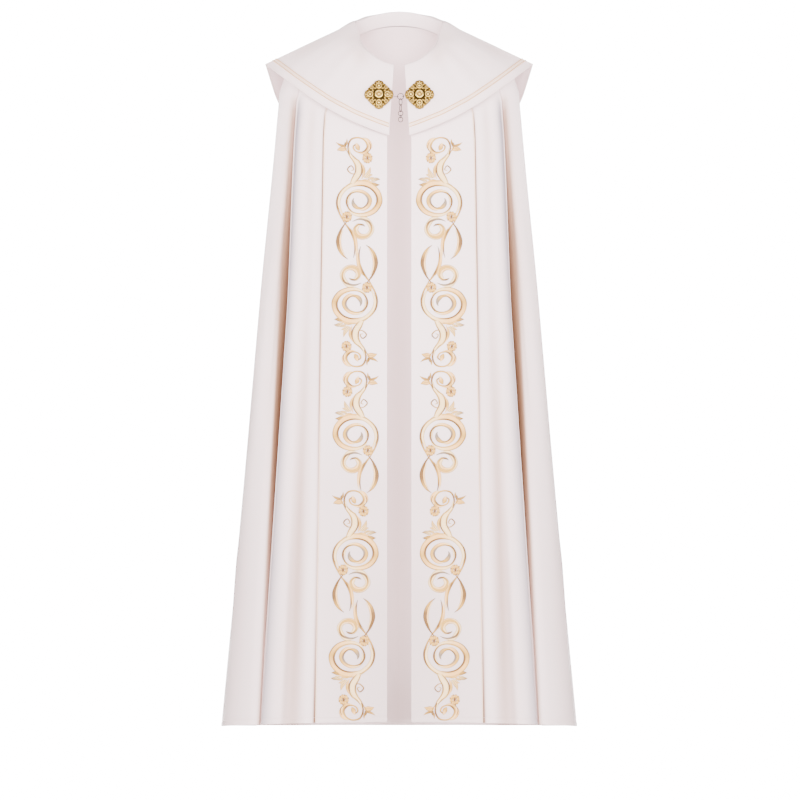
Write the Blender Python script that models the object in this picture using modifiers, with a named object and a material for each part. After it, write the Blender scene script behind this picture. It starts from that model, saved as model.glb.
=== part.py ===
"""Cope vestment, worn shape with no wearer.

A floor-length church cape of pale satin: two mantle halves joined at the centre back, an
embroidered band (orphrey) down each front edge with gold piping in its seam, a wide
turned-down collar whose back hangs as the hood, a gold braid on the collar, and a clasp of
two cast plates, a hook, an eye and a ring with a short tail of loose links.

Frame: metres, +Z up, the front faces -Y. The wearer's left is +X. The origin lies between
the shoulders at the height of the neck base, where the wearer holds the garment up.
"""
import bpy
import bmesh
import math
from collections import namedtuple
from mathutils import Vector
from mathutils.bvhtree import BVHTree

# ---------------------------------------------------------------- driving dimensions, metres
HEM_SIDE = -1.460          # height of the hem at the sides and back
HEM_FRONT = -1.450         # the front hangs over the chest, so its hem sits a little higher
CLOTH = 0.0015             # satin on its interlining
COLLAR_CLOTH = 0.0020      # satin on a stiffer interlining
BRAID_THICK = 0.0008
SEAM_GAP = 0.0003          # room between sewn pieces
FRONT_SQUARE = 2.5         # superellipse exponents of the plan: a flatter front,
BACK_SQUARE = 2.2          # a rounder back

HANG_TOP = -0.215          # below this height the cloth hangs freely
HANG_RINGS = 13
COLUMNS_PER_FOLD = 3
ORPHREY_COLUMNS = 4

PIPING = 0.0009            # radius of the cord on the orphrey's seam

BRAID_FROM_EDGE = 0.0215   # from the collar's outer edge to the braid
BRAID_WIDTH = 0.0047

PLATE_RADIUS = 0.0303      # centre of a clasp plate to the tip of a lobe
PLATE_X = 0.0425           # centre of a plate from the middle of the garment
PLATE_Z = -0.1375
PLATE_RIM = 0.0022         # thickness at the rim
PLATE_RISE = 0.0026        # rise of the dome above the rim
PLATE_CLEAR = 0.0005       # least room between plate and collar
BOSS_RADIUS = 0.0085
BOSS_HEIGHT = 0.0030

WIRE = 0.00075             # wire radius of the ring and links
FINE_WIRE = 0.00055        # wire radius of hook, eye and small link
LINK_ROOM = 0.0003         # play between a link and the wire it hangs on
RING_X = 0.0030            # the tail hangs a little beside the middle
RING_Z = -0.1404
RING_RADIUS = 0.0064       # to the middle of the wire

Ring = namedtuple("Ring", "name half_width front back z_side z_front z_back seam_x edge_x fold")
# The mantle over the shoulders. seam_x and edge_x place the two long edges of the orphrey.
SHOULDER_RINGS = [
    Ring("neck seam", 0.091, 0.098, 0.080, -0.014, -0.090, 0.008, 0.074, 0.0150, 0.0),
    Ring("neck slope", 0.150, 0.113, 0.100, -0.036, -0.108, -0.030, 0.112, 0.0180, 0.0),
    Ring("shoulder slope", 0.205, 0.127, 0.119, -0.063, -0.138, -0.075, 0.137, 0.0210, 0.0),
    Ring("shoulder point", 0.238, 0.138, 0.132, -0.091, -0.168, -0.118, 0.149, 0.0235, 0.05),
    Ring("shoulder turn", 0.2505, 0.147, 0.142, -0.130, -0.196, -0.162, 0.156, 0.0250, 0.20),
]
HANG_START = Ring("hang", 0.2580, 0.153, 0.152, HANG_TOP, -0.235, -0.225, 0.159, 0.0256, 0.35)
HEM = Ring("hem", 0.3692, 0.205, 0.245, HEM_SIDE, HEM_FRONT, HEM_SIDE, 0.1767, 0.0256, 1.0)

Fold = namedtuple("Fold", "name cloth place_top place_hem out_top out_hem")
# Folds of one mantle half, from its front seam round to the centre back.
# cloth: share of the cloth's width. place: share of the way round. out: beyond the plan.
FOLDS = [
    Fold("front seam", 0.00, 0.000, 0.000, 0.000, 0.000),
    Fold("front dip", 0.07, 0.050, 0.047, -0.001, -0.006),
    Fold("front roll", 0.15, 0.108, 0.120, 0.003, 0.010),
    Fold("front groove", 0.23, 0.146, 0.1546, -0.012, -0.040),
    Fold("side roll", 0.31, 0.190, 0.190, 0.004, 0.012),
    Fold("side", 0.43, 0.400, 0.425, 0.000, 0.000),
    Fold("side dip", 0.51, 0.480, 0.495, -0.002, -0.009),
    Fold("first back roll", 0.59, 0.550, 0.545, 0.003, 0.014),
    Fold("first back groove", 0.67, 0.610, 0.600, -0.009, -0.036),
    Fold("second back roll", 0.75, 0.690, 0.680, 0.004, 0.016),
    Fold("second back groove", 0.83, 0.770, 0.760, -0.007, -0.030),
    Fold("centre roll", 0.92, 0.880, 0.870, 0.003, 0.014),
    Fold("centre back", 1.00, 1.000, 1.000, -0.004, -0.018),
]

Spoke = namedtuple("Spoke", "name neck edge rise")
# The collar from its roll at the neck out to its edge; rise is how far it bows outwards.
FRONT_SPOKES = [
    Spoke("front edge", (0.0110, -0.108, -0.0740), (0.0214, -0.166, -0.2220), 0.0040),
    Spoke("clasp", (0.0403, -0.104, -0.0630), (0.0613, -0.163, -0.2075), 0.0055),
    Spoke("chest", (0.0640, -0.090, -0.0460), (0.1140, -0.155, -0.1845), 0.0095),
    Spoke("front shoulder", (0.0800, -0.068, -0.0290), (0.1662, -0.137, -0.1550), 0.0140),
    Spoke("upper arm", (0.0870, -0.038, -0.0100), (0.2186, -0.096, -0.1190), 0.0140),
    Spoke("shoulder front", (0.0915, -0.015, 0.0060), (0.2560, -0.043, -0.0905), 0.0070),
    Spoke("shoulder", (0.0948, 0.004, 0.0170), (0.2815, 0.008, -0.0711), 0.0),
]
BACK_SPOKES = [
    FRONT_SPOKES[-1],
    Spoke("shoulder back", (0.0930, 0.022, 0.0190), (0.2640, 0.062, -0.1280), 0.0120),
    Spoke("blade", (0.0822, 0.046, 0.0212), (0.2480, 0.100, -0.1750), 0.0230),
    Spoke("upper back", (0.0660, 0.064, 0.0280), (0.2260, 0.132, -0.2620), 0.0330),
    Spoke("hood side", (0.0480, 0.076, 0.0330), (0.1830, 0.155, -0.3640), 0.0360),
    Spoke("hood corner", (0.0250, 0.085, 0.0380), (0.1020, 0.172, -0.4330), 0.0360),
    Spoke("centre back", (0.0000, 0.088, 0.0400), (0.0000, 0.178, -0.4600), 0.0350),
]
COLLAR_STEPS = (0.0, 0.05, 0.16, 0.32, 0.50, 0.68, 0.85, 1.0)   # shares from neck to braid
SPOKE_COLUMNS = 2          # columns between two spokes

Link = namedtuple("Link", "name half_width half_height turn wire")
# The tail below the clasp ring, top to bottom; turn is degrees about the vertical.
LINKS = [
    Link("tail_link_1", 0.0045, 0.0070, 45, WIRE),
    Link("tail_link_2", 0.0038, 0.0077, 120, WIRE),
    Link("tail_ring_3", 0.0050, 0.0050, 195, WIRE),
    Link("tail_link_4", 0.0031, 0.0031, 115, FINE_WIRE),
    Link("tail_ring_5", 0.0050, 0.0050, 25, WIRE),
]


# ---------------------------------------------------------------- scene, materials
for old in list(bpy.data.objects):
    bpy.data.objects.remove(old)
cope = bpy.data.collections.new("cope_vestment")
bpy.context.scene.collection.children.link(cope)


def material(name, colour, roughness, metallic=0.0):
    made = bpy.data.materials.new(name)
    made.use_nodes = True
    shader = made.node_tree.nodes["Principled BSDF"]
    shader.inputs["Base Color"].default_value = (*colour, 1.0)
    shader.inputs["Roughness"].default_value = roughness
    shader.inputs["Metallic"].default_value = metallic
    return made


MATERIALS = {
    "rose_satin": material("rose_satin", (0.86, 0.79, 0.78), 0.45),
    "gold_cord": material("gold_cord", (0.83, 0.66, 0.40), 0.50),
    "gold_braid": material("gold_braid", (0.88, 0.72, 0.48), 0.45),
    "cast_brass": material("cast_brass", (0.80, 0.62, 0.28), 0.30, 1.0),
    "plated_wire": material("plated_wire", (0.72, 0.68, 0.58), 0.25, 1.0),
}


def finish(item, slot):
    item.data.materials.append(MATERIALS[slot])
    return item


# ---------------------------------------------------------------- helpers for sheets
def lerp(a, b, t):
    return a + (b - a) * t


def smooth_between(table, x):
    """Catmull-Rom through a list of vectors, x running from 0 to len - 1."""
    last = len(table) - 1
    i = min(int(x), last - 1)
    t = x - i
    p1, p2 = table[i], table[i + 1]
    p0 = table[i - 1] if i > 0 else p1 * 2 - p2
    p3 = table[i + 2] if i + 2 <= last else p2 * 2 - p1
    return 0.5 * (2 * p1 + (p2 - p0) * t + (2 * p0 - 5 * p1 + 4 * p2 - p3) * t * t
                  + (3 * p1 - 3 * p2 + p3 - p0) * t * t * t)


def grid_mesh(name, rows, flip):
    """A mesh through rows of points; flip turns its faces round."""
    columns = len(rows[0])
    faces = []
    for r in range(len(rows) - 1):
        for c in range(columns - 1):
            a = r * columns + c
            quad = (a, a + columns, a + columns + 1, a + 1)
            faces.append(quad[::-1] if flip else quad)
    mesh = bpy.data.meshes.new(name)
    mesh.from_pydata([p for row in rows for p in row], [], faces)
    mesh.shade_smooth()
    return mesh


def sheet(name, rows, thickness, slot, flip=False, mirrored=False):
    """Cloth: an open surface, its wall grown inwards from the outer face."""
    item = bpy.data.objects.new(name, grid_mesh(name, rows, flip))
    cope.objects.link(item)
    if mirrored:
        mirror = item.modifiers.new("other half", "MIRROR")
        mirror.merge_threshold = 0.00005
    wall = item.modifiers.new("wall", "SOLIDIFY")
    wall.thickness = thickness
    wall.offset = -1.0
    return finish(item, slot)


def surface_normals(rows):
    """Outward normals at a grid's points."""
    normals = []
    for r, row in enumerate(rows):
        line = []
        for c in range(len(row)):
            down = rows[min(r + 1, len(rows) - 1)][c] - rows[max(r - 1, 0)][c]
            across = row[min(c + 1, len(row) - 1)] - row[max(c - 1, 0)]
            normal = down.cross(across)
            if c == len(row) - 1:
                normal.x = 0.0
            line.append(normal.normalized())
        normals.append(line)
    return normals


def moved_out(rows, normals, distance):
    return [[p + n * distance for p, n in zip(row, line)] for row, line in zip(rows, normals)]


def wire(name, points, radius, slot, closed=False, sides=1):
    """A round wire or cord along its points."""
    curve = bpy.data.curves.new(name, "CURVE")
    curve.dimensions = "3D"
    curve.bevel_depth = radius
    curve.bevel_resolution = sides
    curve.use_fill_caps = not closed
    spline = curve.splines.new("POLY")
    spline.points.add(len(points) - 1)
    for spot, point in zip(spline.points, points):
        spot.co = (*point, 1.0)
    spline.use_cyclic_u = closed
    item = bpy.data.objects.new(name, curve)
    cope.objects.link(item)
    return finish(item, slot)


# ---------------------------------------------------------------- plan of the mantle
def hanging_ring(drop):
    """A ring between the shoulders and the hem; drop runs from 0 to 1."""
    values = [lerp(a, b, drop) for a, b in zip(HANG_START[1:], HEM[1:])]
    return Ring("hanging", *values)


RINGS = SHOULDER_RINGS + [hanging_ring(i / (HANG_RINGS - 1)) for i in range(HANG_RINGS)]


def turn_at(ring, x):
    """Angle of the plan, from the front centre, at a distance x from the middle."""
    return math.asin(min(1.0, (x / ring.half_width) ** (FRONT_SQUARE / 2)))


def plan_point(ring, turn):
    """A point of the ring's outline; turn is 0 at the front centre, pi at the back."""
    s, c = math.sin(turn), math.cos(turn)
    power = 2 / (FRONT_SQUARE if c > 0 else BACK_SQUARE)
    x = ring.half_width * max(s, 0.0) ** power
    depth = abs(c) ** power
    y = -ring.front * depth if c > 0 else ring.back * depth
    z_end = ring.z_front if c > 0 else ring.z_back
    return Vector((x, y, lerp(ring.z_side, z_end, c * c)))


def plan_normal(ring, turn):
    """Level direction out of the outline."""
    step = 0.01
    along = (plan_point(ring, min(math.pi, turn + step))
             - plan_point(ring, max(0.0, turn - step)))
    return Vector((-along.y, along.x, 0.0)).normalized() * -1.0


def fold_at(cloth, drop):
    """Place round the plan and distance out of it, for a share of the cloth's width."""
    for low, high in zip(FOLDS, FOLDS[1:]):
        if cloth <= high.cloth:
            break
    t = (cloth - low.cloth) / (high.cloth - low.cloth)
    place = lerp(lerp(low.place_top, low.place_hem, drop),
                 lerp(high.place_top, high.place_hem, drop), t)
    ease = (1 - math.cos(math.pi * t)) / 2
    out = lerp(lerp(low.out_top, low.out_hem, drop),
               lerp(high.out_top, high.out_hem, drop), ease)
    return place, out


def turn_towards(ring, spot):
    """Angle of the plan at which the outline lies in the same direction as a spot."""
    wanted = math.atan2(spot.x, -spot.y)
    low, high = 0.0, math.pi
    for _ in range(30):
        middle = (low + high) / 2
        point = plan_point(ring, middle)
        if math.atan2(point.x, -point.y) < wanted:
            low = middle
        else:
            high = middle
    return low


def mantle_point(ring, cloth):
    drop = max(0.0, (ring.fold - HANG_START.fold) / (1 - HANG_START.fold))
    gate = min(1.0, ring.fold / HANG_START.fold)
    place, out = fold_at(cloth, drop)
    seam = turn_at(ring, ring.seam_x + SEAM_GAP / 2)
    turn = lerp(seam, math.pi, place)
    point = plan_point(ring, turn) + plan_normal(ring, turn) * out * gate
    point.x = max(point.x, SEAM_GAP / 2)
    return point


def orphrey_point(ring, share):
    """share runs from the free front edge to the seam."""
    x = lerp(ring.edge_x, ring.seam_x - SEAM_GAP / 2, share)
    return plan_point(ring, turn_at(ring, x))


def cloth_shares():
    shares = [FOLDS[0].cloth]
    for low, high in zip(FOLDS, FOLDS[1:]):
        shares += [lerp(low.cloth, high.cloth, (k + 1) / COLUMNS_PER_FOLD)
                   for k in range(COLUMNS_PER_FOLD)]
    return shares


def to_side(rows, side):
    return [[Vector((p.x * side, p.y, p.z)) for p in row] for row in rows]


def make_body(side, hand):
    """One half of the cape: mantle half, orphrey and the piping between them."""
    mantle = [[mantle_point(ring, w) for w in cloth_shares()] for ring in RINGS]
    sheet("mantle_" + hand, to_side(mantle, side), CLOTH, "rose_satin", flip=side < 0)
    shares = [k / ORPHREY_COLUMNS for k in range(ORPHREY_COLUMNS + 1)]
    band = [[orphrey_point(ring, s) for s in shares] for ring in RINGS]
    sheet("orphrey_" + hand, to_side(band, side), CLOTH, "rose_satin", flip=side < 0)
    seam = [[plan_point(ring, turn_at(ring, ring.seam_x) + step) for step in (-0.02, 0.0, 0.02)]
            for ring in RINGS]
    raised = moved_out(seam, surface_normals(seam), PIPING + 2 * SEAM_GAP)
    cord = [row[1] for row in to_side(raised, side)]
    wire("piping_" + hand, cord, PIPING, "gold_cord")


# ---------------------------------------------------------------- collar
def spoke_point(neck, edge, rise, share):
    """A point from the roll (0) to the edge (1), bowed out from the body."""
    point = neck.lerp(edge, share)
    level = Vector((point.x * 0.4, point.y, 0.0))
    if level.length < 1e-6:
        return point
    away = level.normalized() + Vector((0, 0, 0.6))
    swell = 2.6 * math.sqrt(share) * (1 - share)
    return point + away.normalized() * rise * swell


def collar_columns():
    """Neck point, edge point and rise of each column, front edge to centre back."""
    columns = []
    for spokes in (FRONT_SPOKES, BACK_SPOKES):
        necks = [Vector(s.neck) for s in spokes]
        edges = [Vector(s.edge) for s in spokes]
        rises = [Vector((s.rise, 0, 0)) for s in spokes]
        count = (len(spokes) - 1) * SPOKE_COLUMNS
        for k in range(count + 1):
            x = k / SPOKE_COLUMNS
            columns.append((smooth_between(necks, x), smooth_between(edges, x),
                            smooth_between(rises, x).x))
        if spokes is FRONT_SPOKES:
            columns.pop()
    return columns


def collar_rows():
    """Rows of points from the neck to the edge; two of them are the braid's sides."""
    rows = [[] for _ in range(len(COLLAR_STEPS) + 2)]
    for neck, edge, rise in collar_columns():
        length = (edge - neck).length
        inner = 1 - (BRAID_FROM_EDGE + BRAID_WIDTH) / length
        shares = [inner * step for step in COLLAR_STEPS]
        shares += [1 - BRAID_FROM_EDGE / length, 1.0]
        for row, share in zip(rows, shares):
            row.append(spoke_point(neck, edge, rise, share))
    for row in rows:
        row[-1].x = 0.0
    return rows


def make_collar():
    rows = collar_rows()
    sheet("collar", rows, COLLAR_CLOTH, "rose_satin", mirrored=True)
    inner = len(COLLAR_STEPS) - 1
    strip = moved_out(rows, surface_normals(rows), 2 * SEAM_GAP + BRAID_THICK)[inner:inner + 2]
    sheet("collar_braid", strip, BRAID_THICK, "gold_braid", mirrored=True)
    return rows


def make_neck_stand(rows):
    """The low band inside the neck, from the mantle's neck seam up to the collar's roll."""
    top, bottom = [], []
    for point in rows[0]:
        level = Vector((point.x, point.y, 0.0))
        inward = level.normalized() * (COLLAR_CLOTH + 4 * SEAM_GAP)
        top.append(point - inward - Vector((0, 0, 0.0010)))
        seat = plan_point(RINGS[0], turn_towards(RINGS[0], point))
        pull = Vector((seat.x, seat.y, 0.0)).normalized() * CLOTH / 2
        bottom.append(seat - pull + Vector((0, 0, 4 * SEAM_GAP)))
    top[-1].x = bottom[-1].x = 0.0
    middle = [a.lerp(b, 0.5) for a, b in zip(top, bottom)]
    sheet("neck_stand", [top, middle, bottom], CLOTH, "rose_satin", mirrored=True)


# ---------------------------------------------------------------- clasp
def plate_radius(angle):
    """Rounded diamond with a scalloped rim."""
    diamond = 1 - 0.17 * math.sin(2 * angle) ** 2
    return PLATE_RADIUS * (diamond + 0.012 * math.cos(12 * angle) - 0.012)


PLATE_POINTS = 48
PLATE_PROFILE = ((1.0, 0.0), (1.0, 0.6), (0.965, 1.0), (0.80, 1.25), (0.55, 1.75), (0.30, 2.0))
# share of the outline's radius, height (1 is the rim, 2 the top of the dome)


def plate_height(level):
    return PLATE_RIM * min(level, 1.0) + PLATE_RISE * max(level - 1.0, 0.0)


def seat_on(rows, x, z, radius):
    """Plane that a flat disc takes on the collar: its centre and its normal."""
    tree = BVHTree.FromPolygons([p for row in rows for p in row], grid_faces(rows))
    spots = []
    for k in range(12):
        angle = 2 * math.pi * k / 12
        spot = Vector((x + radius * 0.8 * math.cos(angle), -1.0,
                       z + radius * 0.8 * math.sin(angle)))
        hit = tree.ray_cast(spot, Vector((0, 1, 0)))[0]
        if hit:
            spots.append(hit)
    centre = sum(spots, Vector()) / len(spots)
    lean = sum((s.y - centre.y) * (s.z - centre.z) for s in spots)
    lean /= sum((s.z - centre.z) ** 2 for s in spots)
    # The plates face straight to the front, so only the lean of the chest is taken over.
    normal = Vector((0, -1, lean)).normalized()
    lift = max((s - centre).dot(normal) for s in spots)
    on_axis = Vector((x, centre.y + (z - centre.z) * lean, z))
    return on_axis + normal * (lift + PLATE_CLEAR), normal


def grid_faces(rows):
    columns = len(rows[0])
    return [(r * columns + c, (r + 1) * columns + c, (r + 1) * columns + c + 1,
             r * columns + c + 1)
            for r in range(len(rows) - 1) for c in range(columns - 1)]


def stand_on(item, seat, normal):
    """Turn a piece made along +Z so that it stands on the plate's plane."""
    item.location = seat
    item.rotation_euler = (math.acos(normal.z), 0.0, 0.0)


def plate_mesh():
    """Lofted cast plate: rings of the outline, closed by flat caps."""
    body = bmesh.new()
    rings = []
    for share, level in PLATE_PROFILE:
        ring = []
        for k in range(PLATE_POINTS):
            angle = 2 * math.pi * k / PLATE_POINTS
            reach = plate_radius(angle) * share
            ring.append(body.verts.new((reach * math.cos(angle), reach * math.sin(angle),
                                        plate_height(level))))
        rings.append(ring)
    for low, high in zip(rings, rings[1:]):
        for k in range(PLATE_POINTS):
            n = (k + 1) % PLATE_POINTS
            body.faces.new((low[k], low[n], high[n], high[k]))
    body.faces.new(rings[0][::-1])
    body.faces.new(rings[-1])
    bmesh.ops.triangulate(body, faces=[f for f in body.faces if len(f.verts) > 4])
    mesh = bpy.data.meshes.new("plate")
    body.to_mesh(mesh)
    body.free()
    mesh.shade_smooth()
    mesh.set_sharp_from_angle(angle=math.radians(40))
    return mesh


def make_plate(side, hand, rows):
    seat, normal = seat_on(rows, PLATE_X, PLATE_Z, PLATE_RADIUS)
    seat.x *= side
    plate = bpy.data.objects.new("clasp_plate_" + hand, plate_mesh())
    cope.objects.link(plate)
    stand_on(plate, seat, normal)
    finish(plate, "cast_brass")
    bpy.ops.mesh.primitive_cylinder_add(vertices=24, radius=BOSS_RADIUS, depth=BOSS_HEIGHT)
    boss = bpy.context.object
    for owner in boss.users_collection:
        owner.objects.unlink(boss)
    cope.objects.link(boss)
    boss.name = boss.data.name = "clasp_boss_" + hand
    foot = PLATE_RIM + PLATE_RISE + SEAM_GAP + BOSS_HEIGHT / 2
    stand_on(boss, seat + normal * foot, normal)
    rim = boss.modifiers.new("rounded rim", "BEVEL")
    rim.width = BOSS_HEIGHT * 0.45
    rim.segments = 2
    boss.data.shade_smooth()
    finish(boss, "cast_brass")
    return seat + normal * (PLATE_RIM * 0.5)


def make_hook(y):
    """From the right plate's tip, round behind the ring's wire and back in front of it."""
    bend = WIRE + FINE_WIRE + LINK_ROOM
    caught = RING_X - RING_RADIUS
    tip = -PLATE_X + PLATE_RADIUS + SEAM_GAP
    points = [Vector((tip, y + bend * 0.4, RING_Z)), Vector((tip + 0.0015, y + bend, RING_Z))]
    for k in range(9):
        angle = math.pi / 2 - math.pi * k / 8
        points.append(Vector((caught + bend * math.cos(angle), y + bend * math.sin(angle),
                              RING_Z)))
    points.append(Vector((caught - 0.0040, y - bend * 1.15, RING_Z)))
    wire("clasp_hook", points, FINE_WIRE, "plated_wire")


EYE_HALF_LENGTH = 0.0024
EYE_HALF_WIDTH = 0.0021


def make_eye(y):
    """A level loop on the left plate's tip, with the ring's wire through it."""
    outer = PLATE_X - PLATE_RADIUS - SEAM_GAP - FINE_WIRE
    centre = outer - EYE_HALF_LENGTH
    points = []
    for k in range(16):
        angle = 2 * math.pi * k / 16
        points.append(Vector((centre + EYE_HALF_LENGTH * math.cos(angle),
                              y + EYE_HALF_WIDTH * math.sin(angle), RING_Z)))
    wire("clasp_eye", points, FINE_WIRE, "plated_wire", closed=True)


def oval(half_width, half_height, turn, centre):
    """Points of an upright oval, turned about the vertical."""
    across = Vector((math.cos(math.radians(turn)), math.sin(math.radians(turn)), 0.0))
    points = []
    for k in range(20):
        angle = 2 * math.pi * k / 20
        points.append(centre + across * half_width * math.cos(angle)
                      + Vector((0, 0, half_height * math.sin(angle))))
    return points


def make_tail(y):
    """The clasp ring and the loose links, each hanging on the wire above it."""
    centre = Vector((RING_X, y, RING_Z))
    wire("clasp_ring", oval(RING_RADIUS, RING_RADIUS, 0, centre), WIRE, "plated_wire",
         closed=True)
    wire_above = WIRE
    hanger = centre - Vector((0, 0, RING_RADIUS))
    parent = None
    for link in LINKS:
        pivot = bpy.data.objects.new(link.name + "_pivot", None)
        cope.objects.link(pivot)
        pivot.parent = parent
        pivot.location = hanger - (parent_place if parent else Vector())
        top = wire_above + link.wire + LINK_ROOM
        middle = Vector((0, 0, top - link.half_height))
        item = wire(link.name, oval(link.half_width, link.half_height, link.turn, middle),
                    link.wire, "plated_wire", closed=True)
        item.parent = pivot
        parent, parent_place = pivot, hanger
        hanger = hanger + middle - Vector((0, 0, link.half_height))
        wire_above = link.wire


# ---------------------------------------------------------------- make everything
make_body(1, "left")
make_body(-1, "right")
collar = make_collar()
make_neck_stand(collar)
clasp_seat = make_plate(1, "left", collar)
make_plate(-1, "right", collar)
make_hook(clasp_seat.y)
make_eye(clasp_seat.y)
make_tail(clasp_seat.y)
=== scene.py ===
# %% [markdown]
# # Cope vestment
# A cope is a floor-length church cape, open down the front and held by a clasp at the chest.
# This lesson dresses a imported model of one: the cloth is made again as fine, softly folded
# sheets on the forms of the plain solids, then come the embroidery, the trims and the clasp.
# The frame is loaded first, because every piece takes its place from it.

# %% Load the frame
import math
from collections import namedtuple

import bpy
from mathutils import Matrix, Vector
from mathutils.bvhtree import BVHTree


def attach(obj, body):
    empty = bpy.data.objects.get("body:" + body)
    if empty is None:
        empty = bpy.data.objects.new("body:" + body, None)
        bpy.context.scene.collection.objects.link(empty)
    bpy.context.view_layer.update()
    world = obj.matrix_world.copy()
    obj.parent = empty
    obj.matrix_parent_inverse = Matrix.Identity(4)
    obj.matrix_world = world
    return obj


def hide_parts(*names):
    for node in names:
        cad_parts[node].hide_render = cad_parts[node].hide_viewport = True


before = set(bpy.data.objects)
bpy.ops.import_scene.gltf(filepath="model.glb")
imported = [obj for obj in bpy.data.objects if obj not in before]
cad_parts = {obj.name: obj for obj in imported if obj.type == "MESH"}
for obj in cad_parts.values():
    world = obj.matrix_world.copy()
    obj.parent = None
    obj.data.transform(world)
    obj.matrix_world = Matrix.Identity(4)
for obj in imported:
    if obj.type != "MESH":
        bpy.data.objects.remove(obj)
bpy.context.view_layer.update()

# %% [markdown]
# ## Camera
# The garment is looked at level and straight from the front. A long lens far away keeps its
# front and back nearly the same size, as in a catalogue picture, so upright edges stay upright.

# %% Camera
VIEW_WIDTH = 1.678          # metres across the picture, at the middle of the garment
VIEW_X, VIEW_Z = 0.0017, -0.776
DISTANCE = 80.0
camera_data = bpy.data.cameras.new("camera")
camera_data.lens = camera_data.sensor_width * DISTANCE / VIEW_WIDTH
camera_data.clip_end = 400
camera = bpy.data.objects.new("camera", camera_data)
camera.location = (VIEW_X, -DISTANCE, VIEW_Z)
camera.rotation_euler = (math.radians(90), 0, 0)
bpy.context.scene.collection.objects.link(camera)
bpy.context.scene.camera = camera
print("lens", round(camera_data.lens, 1), "mm")

# %% [markdown]
# ## Shader maths as plain expressions
# A pattern is a sum: a little weave, a little unevenness, a darker fold. Blender would have us
# wire one Math node for each plus sign. The small class below wraps a node's output and
# overloads Python's operators, so `1 - mask * 0.5` adds the nodes by itself.

# %% Socket wrapper
class Value:
    """A number that varies over the surface; operators add Math nodes."""

    def __init__(self, shader, socket):
        self.shader, self.socket = shader, socket

    def math(self, operation, *others):
        inputs = dict(enumerate((self, *others)))
        return self.shader.node("ShaderNodeMath", {"operation": operation}, inputs)

    def __add__(self, other):
        return self.math("ADD", other)

    __radd__ = __add__

    def __mul__(self, other):
        return self.math("MULTIPLY", other)

    __rmul__ = __mul__

    def __sub__(self, other):
        return self.math("SUBTRACT", other)

    def __rsub__(self, other):
        return (self * -1) + other

    def __pow__(self, other):
        return self.math("POWER", other)

    def sine(self):
        return self.math("SINE")

    def clamp(self):
        return self.math("MAXIMUM", 0.0).math("MINIMUM", 1.0)


class Shader:
    """One material: `node` adds any node, the helpers below it add the common ones."""

    def __init__(self, name, **constants):
        self.material = bpy.data.materials.new(name)
        self.material.use_nodes = True
        self.tree = self.material.node_tree
        self.surface = self.tree.nodes["Principled BSDF"]
        for socket, value in constants.items():
            self.surface.inputs[socket.replace("_", " ")].default_value = value

    def node(self, kind, settings=None, inputs=None, output=0):
        added = self.tree.nodes.new(kind)
        for key, value in (settings or {}).items():
            setattr(added, key, value)
        for key, value in (inputs or {}).items():
            if isinstance(value, Value):
                self.tree.links.new(value.socket, added.inputs[key])
            else:
                added.inputs[key].default_value = value
        return Value(self, added.outputs[output])

    def feed(self, **links):
        for socket, value in links.items():
            self.tree.links.new(value.socket, self.surface.inputs[socket.replace("_", " ")])
        return self.material

    def place(self, source="Object", scale=(1, 1, 1)):
        spot = self.node("ShaderNodeTexCoord", output=source)
        return self.node("ShaderNodeMapping", {}, {"Vector": spot, "Scale": scale})

    def uv(self, scale=(1, 1, 1)):
        return self.place("UV", scale)

    def split(self, vector):
        parts = self.node("ShaderNodeSeparateXYZ", {}, {"Vector": vector})
        outputs = parts.socket.node.outputs
        return [Value(self, outputs[k]) for k in range(3)]

    def noise(self, vector, scale, detail=2.0, roughness=0.5):
        return self.node("ShaderNodeTexNoise", {}, {"Vector": vector, "Scale": scale,
                                                   "Detail": detail, "Roughness": roughness})

    def mix(self, factor, first, second):
        sockets = {"Factor": factor, 6: first, 7: second}
        return self.node("ShaderNodeMix", {"data_type": "RGBA"}, sockets, output=2)

    def ramp(self, value, stops):
        added = self.node("ShaderNodeValToRGB", {}, {"Fac": value})
        ramp = added.socket.node.color_ramp
        while len(ramp.elements) < len(stops):
            ramp.elements.new(0.5)
        for element, (position, colour) in zip(ramp.elements, stops):
            element.position, element.color = position, colour
        return added

    def bump(self, height, strength, distance):
        return self.node("ShaderNodeBump", {}, {"Height": height, "Strength": strength,
                                               "Distance": distance})


def rgb(red, green, blue):
    return (red, green, blue, 1.0)


# %% [markdown]
# ## The plan of the mantle
# Seen from above, a worn cope is a ring: flatter over the chest, rounder at the back, and
# wider from the shoulders to the hem. A few named rings hold those sizes, and everything
# between them is blended, so one formula gives any point of the cloth.

# %% Rings of the mantle
Ring = namedtuple("Ring", "half_width front back z_side z_front z_back seam_x edge_x")
RINGS = [
    Ring(0.091, 0.098, 0.080, -0.014, -0.090, 0.008, 0.0725, 0.0150),
    Ring(0.150, 0.113, 0.100, -0.036, -0.108, -0.030, 0.1105, 0.0180),
    Ring(0.205, 0.127, 0.119, -0.063, -0.138, -0.075, 0.1355, 0.0210),
    Ring(0.238, 0.138, 0.132, -0.091, -0.168, -0.118, 0.1475, 0.0235),
    Ring(0.2505, 0.147, 0.142, -0.130, -0.196, -0.162, 0.1545, 0.0250),
    Ring(0.2580, 0.153, 0.152, -0.215, -0.235, -0.225, 0.1575, 0.0256),
    Ring(0.3692, 0.205, 0.245, -1.460, -1.450, -1.460, 0.1755, 0.0256),
]
SHOULDER_SHARE = 0.17       # share of the cloth's length that lies above the hanging part
FRONT_SQUARE, BACK_SQUARE = 2.5, 2.2
SEAM_GAP = 0.0003


def lerp(a, b, t):
    return a + (b - a) * t


def ease(t):
    t = min(max(t, 0.0), 1.0)
    return t * t * (3 - 2 * t)


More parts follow.
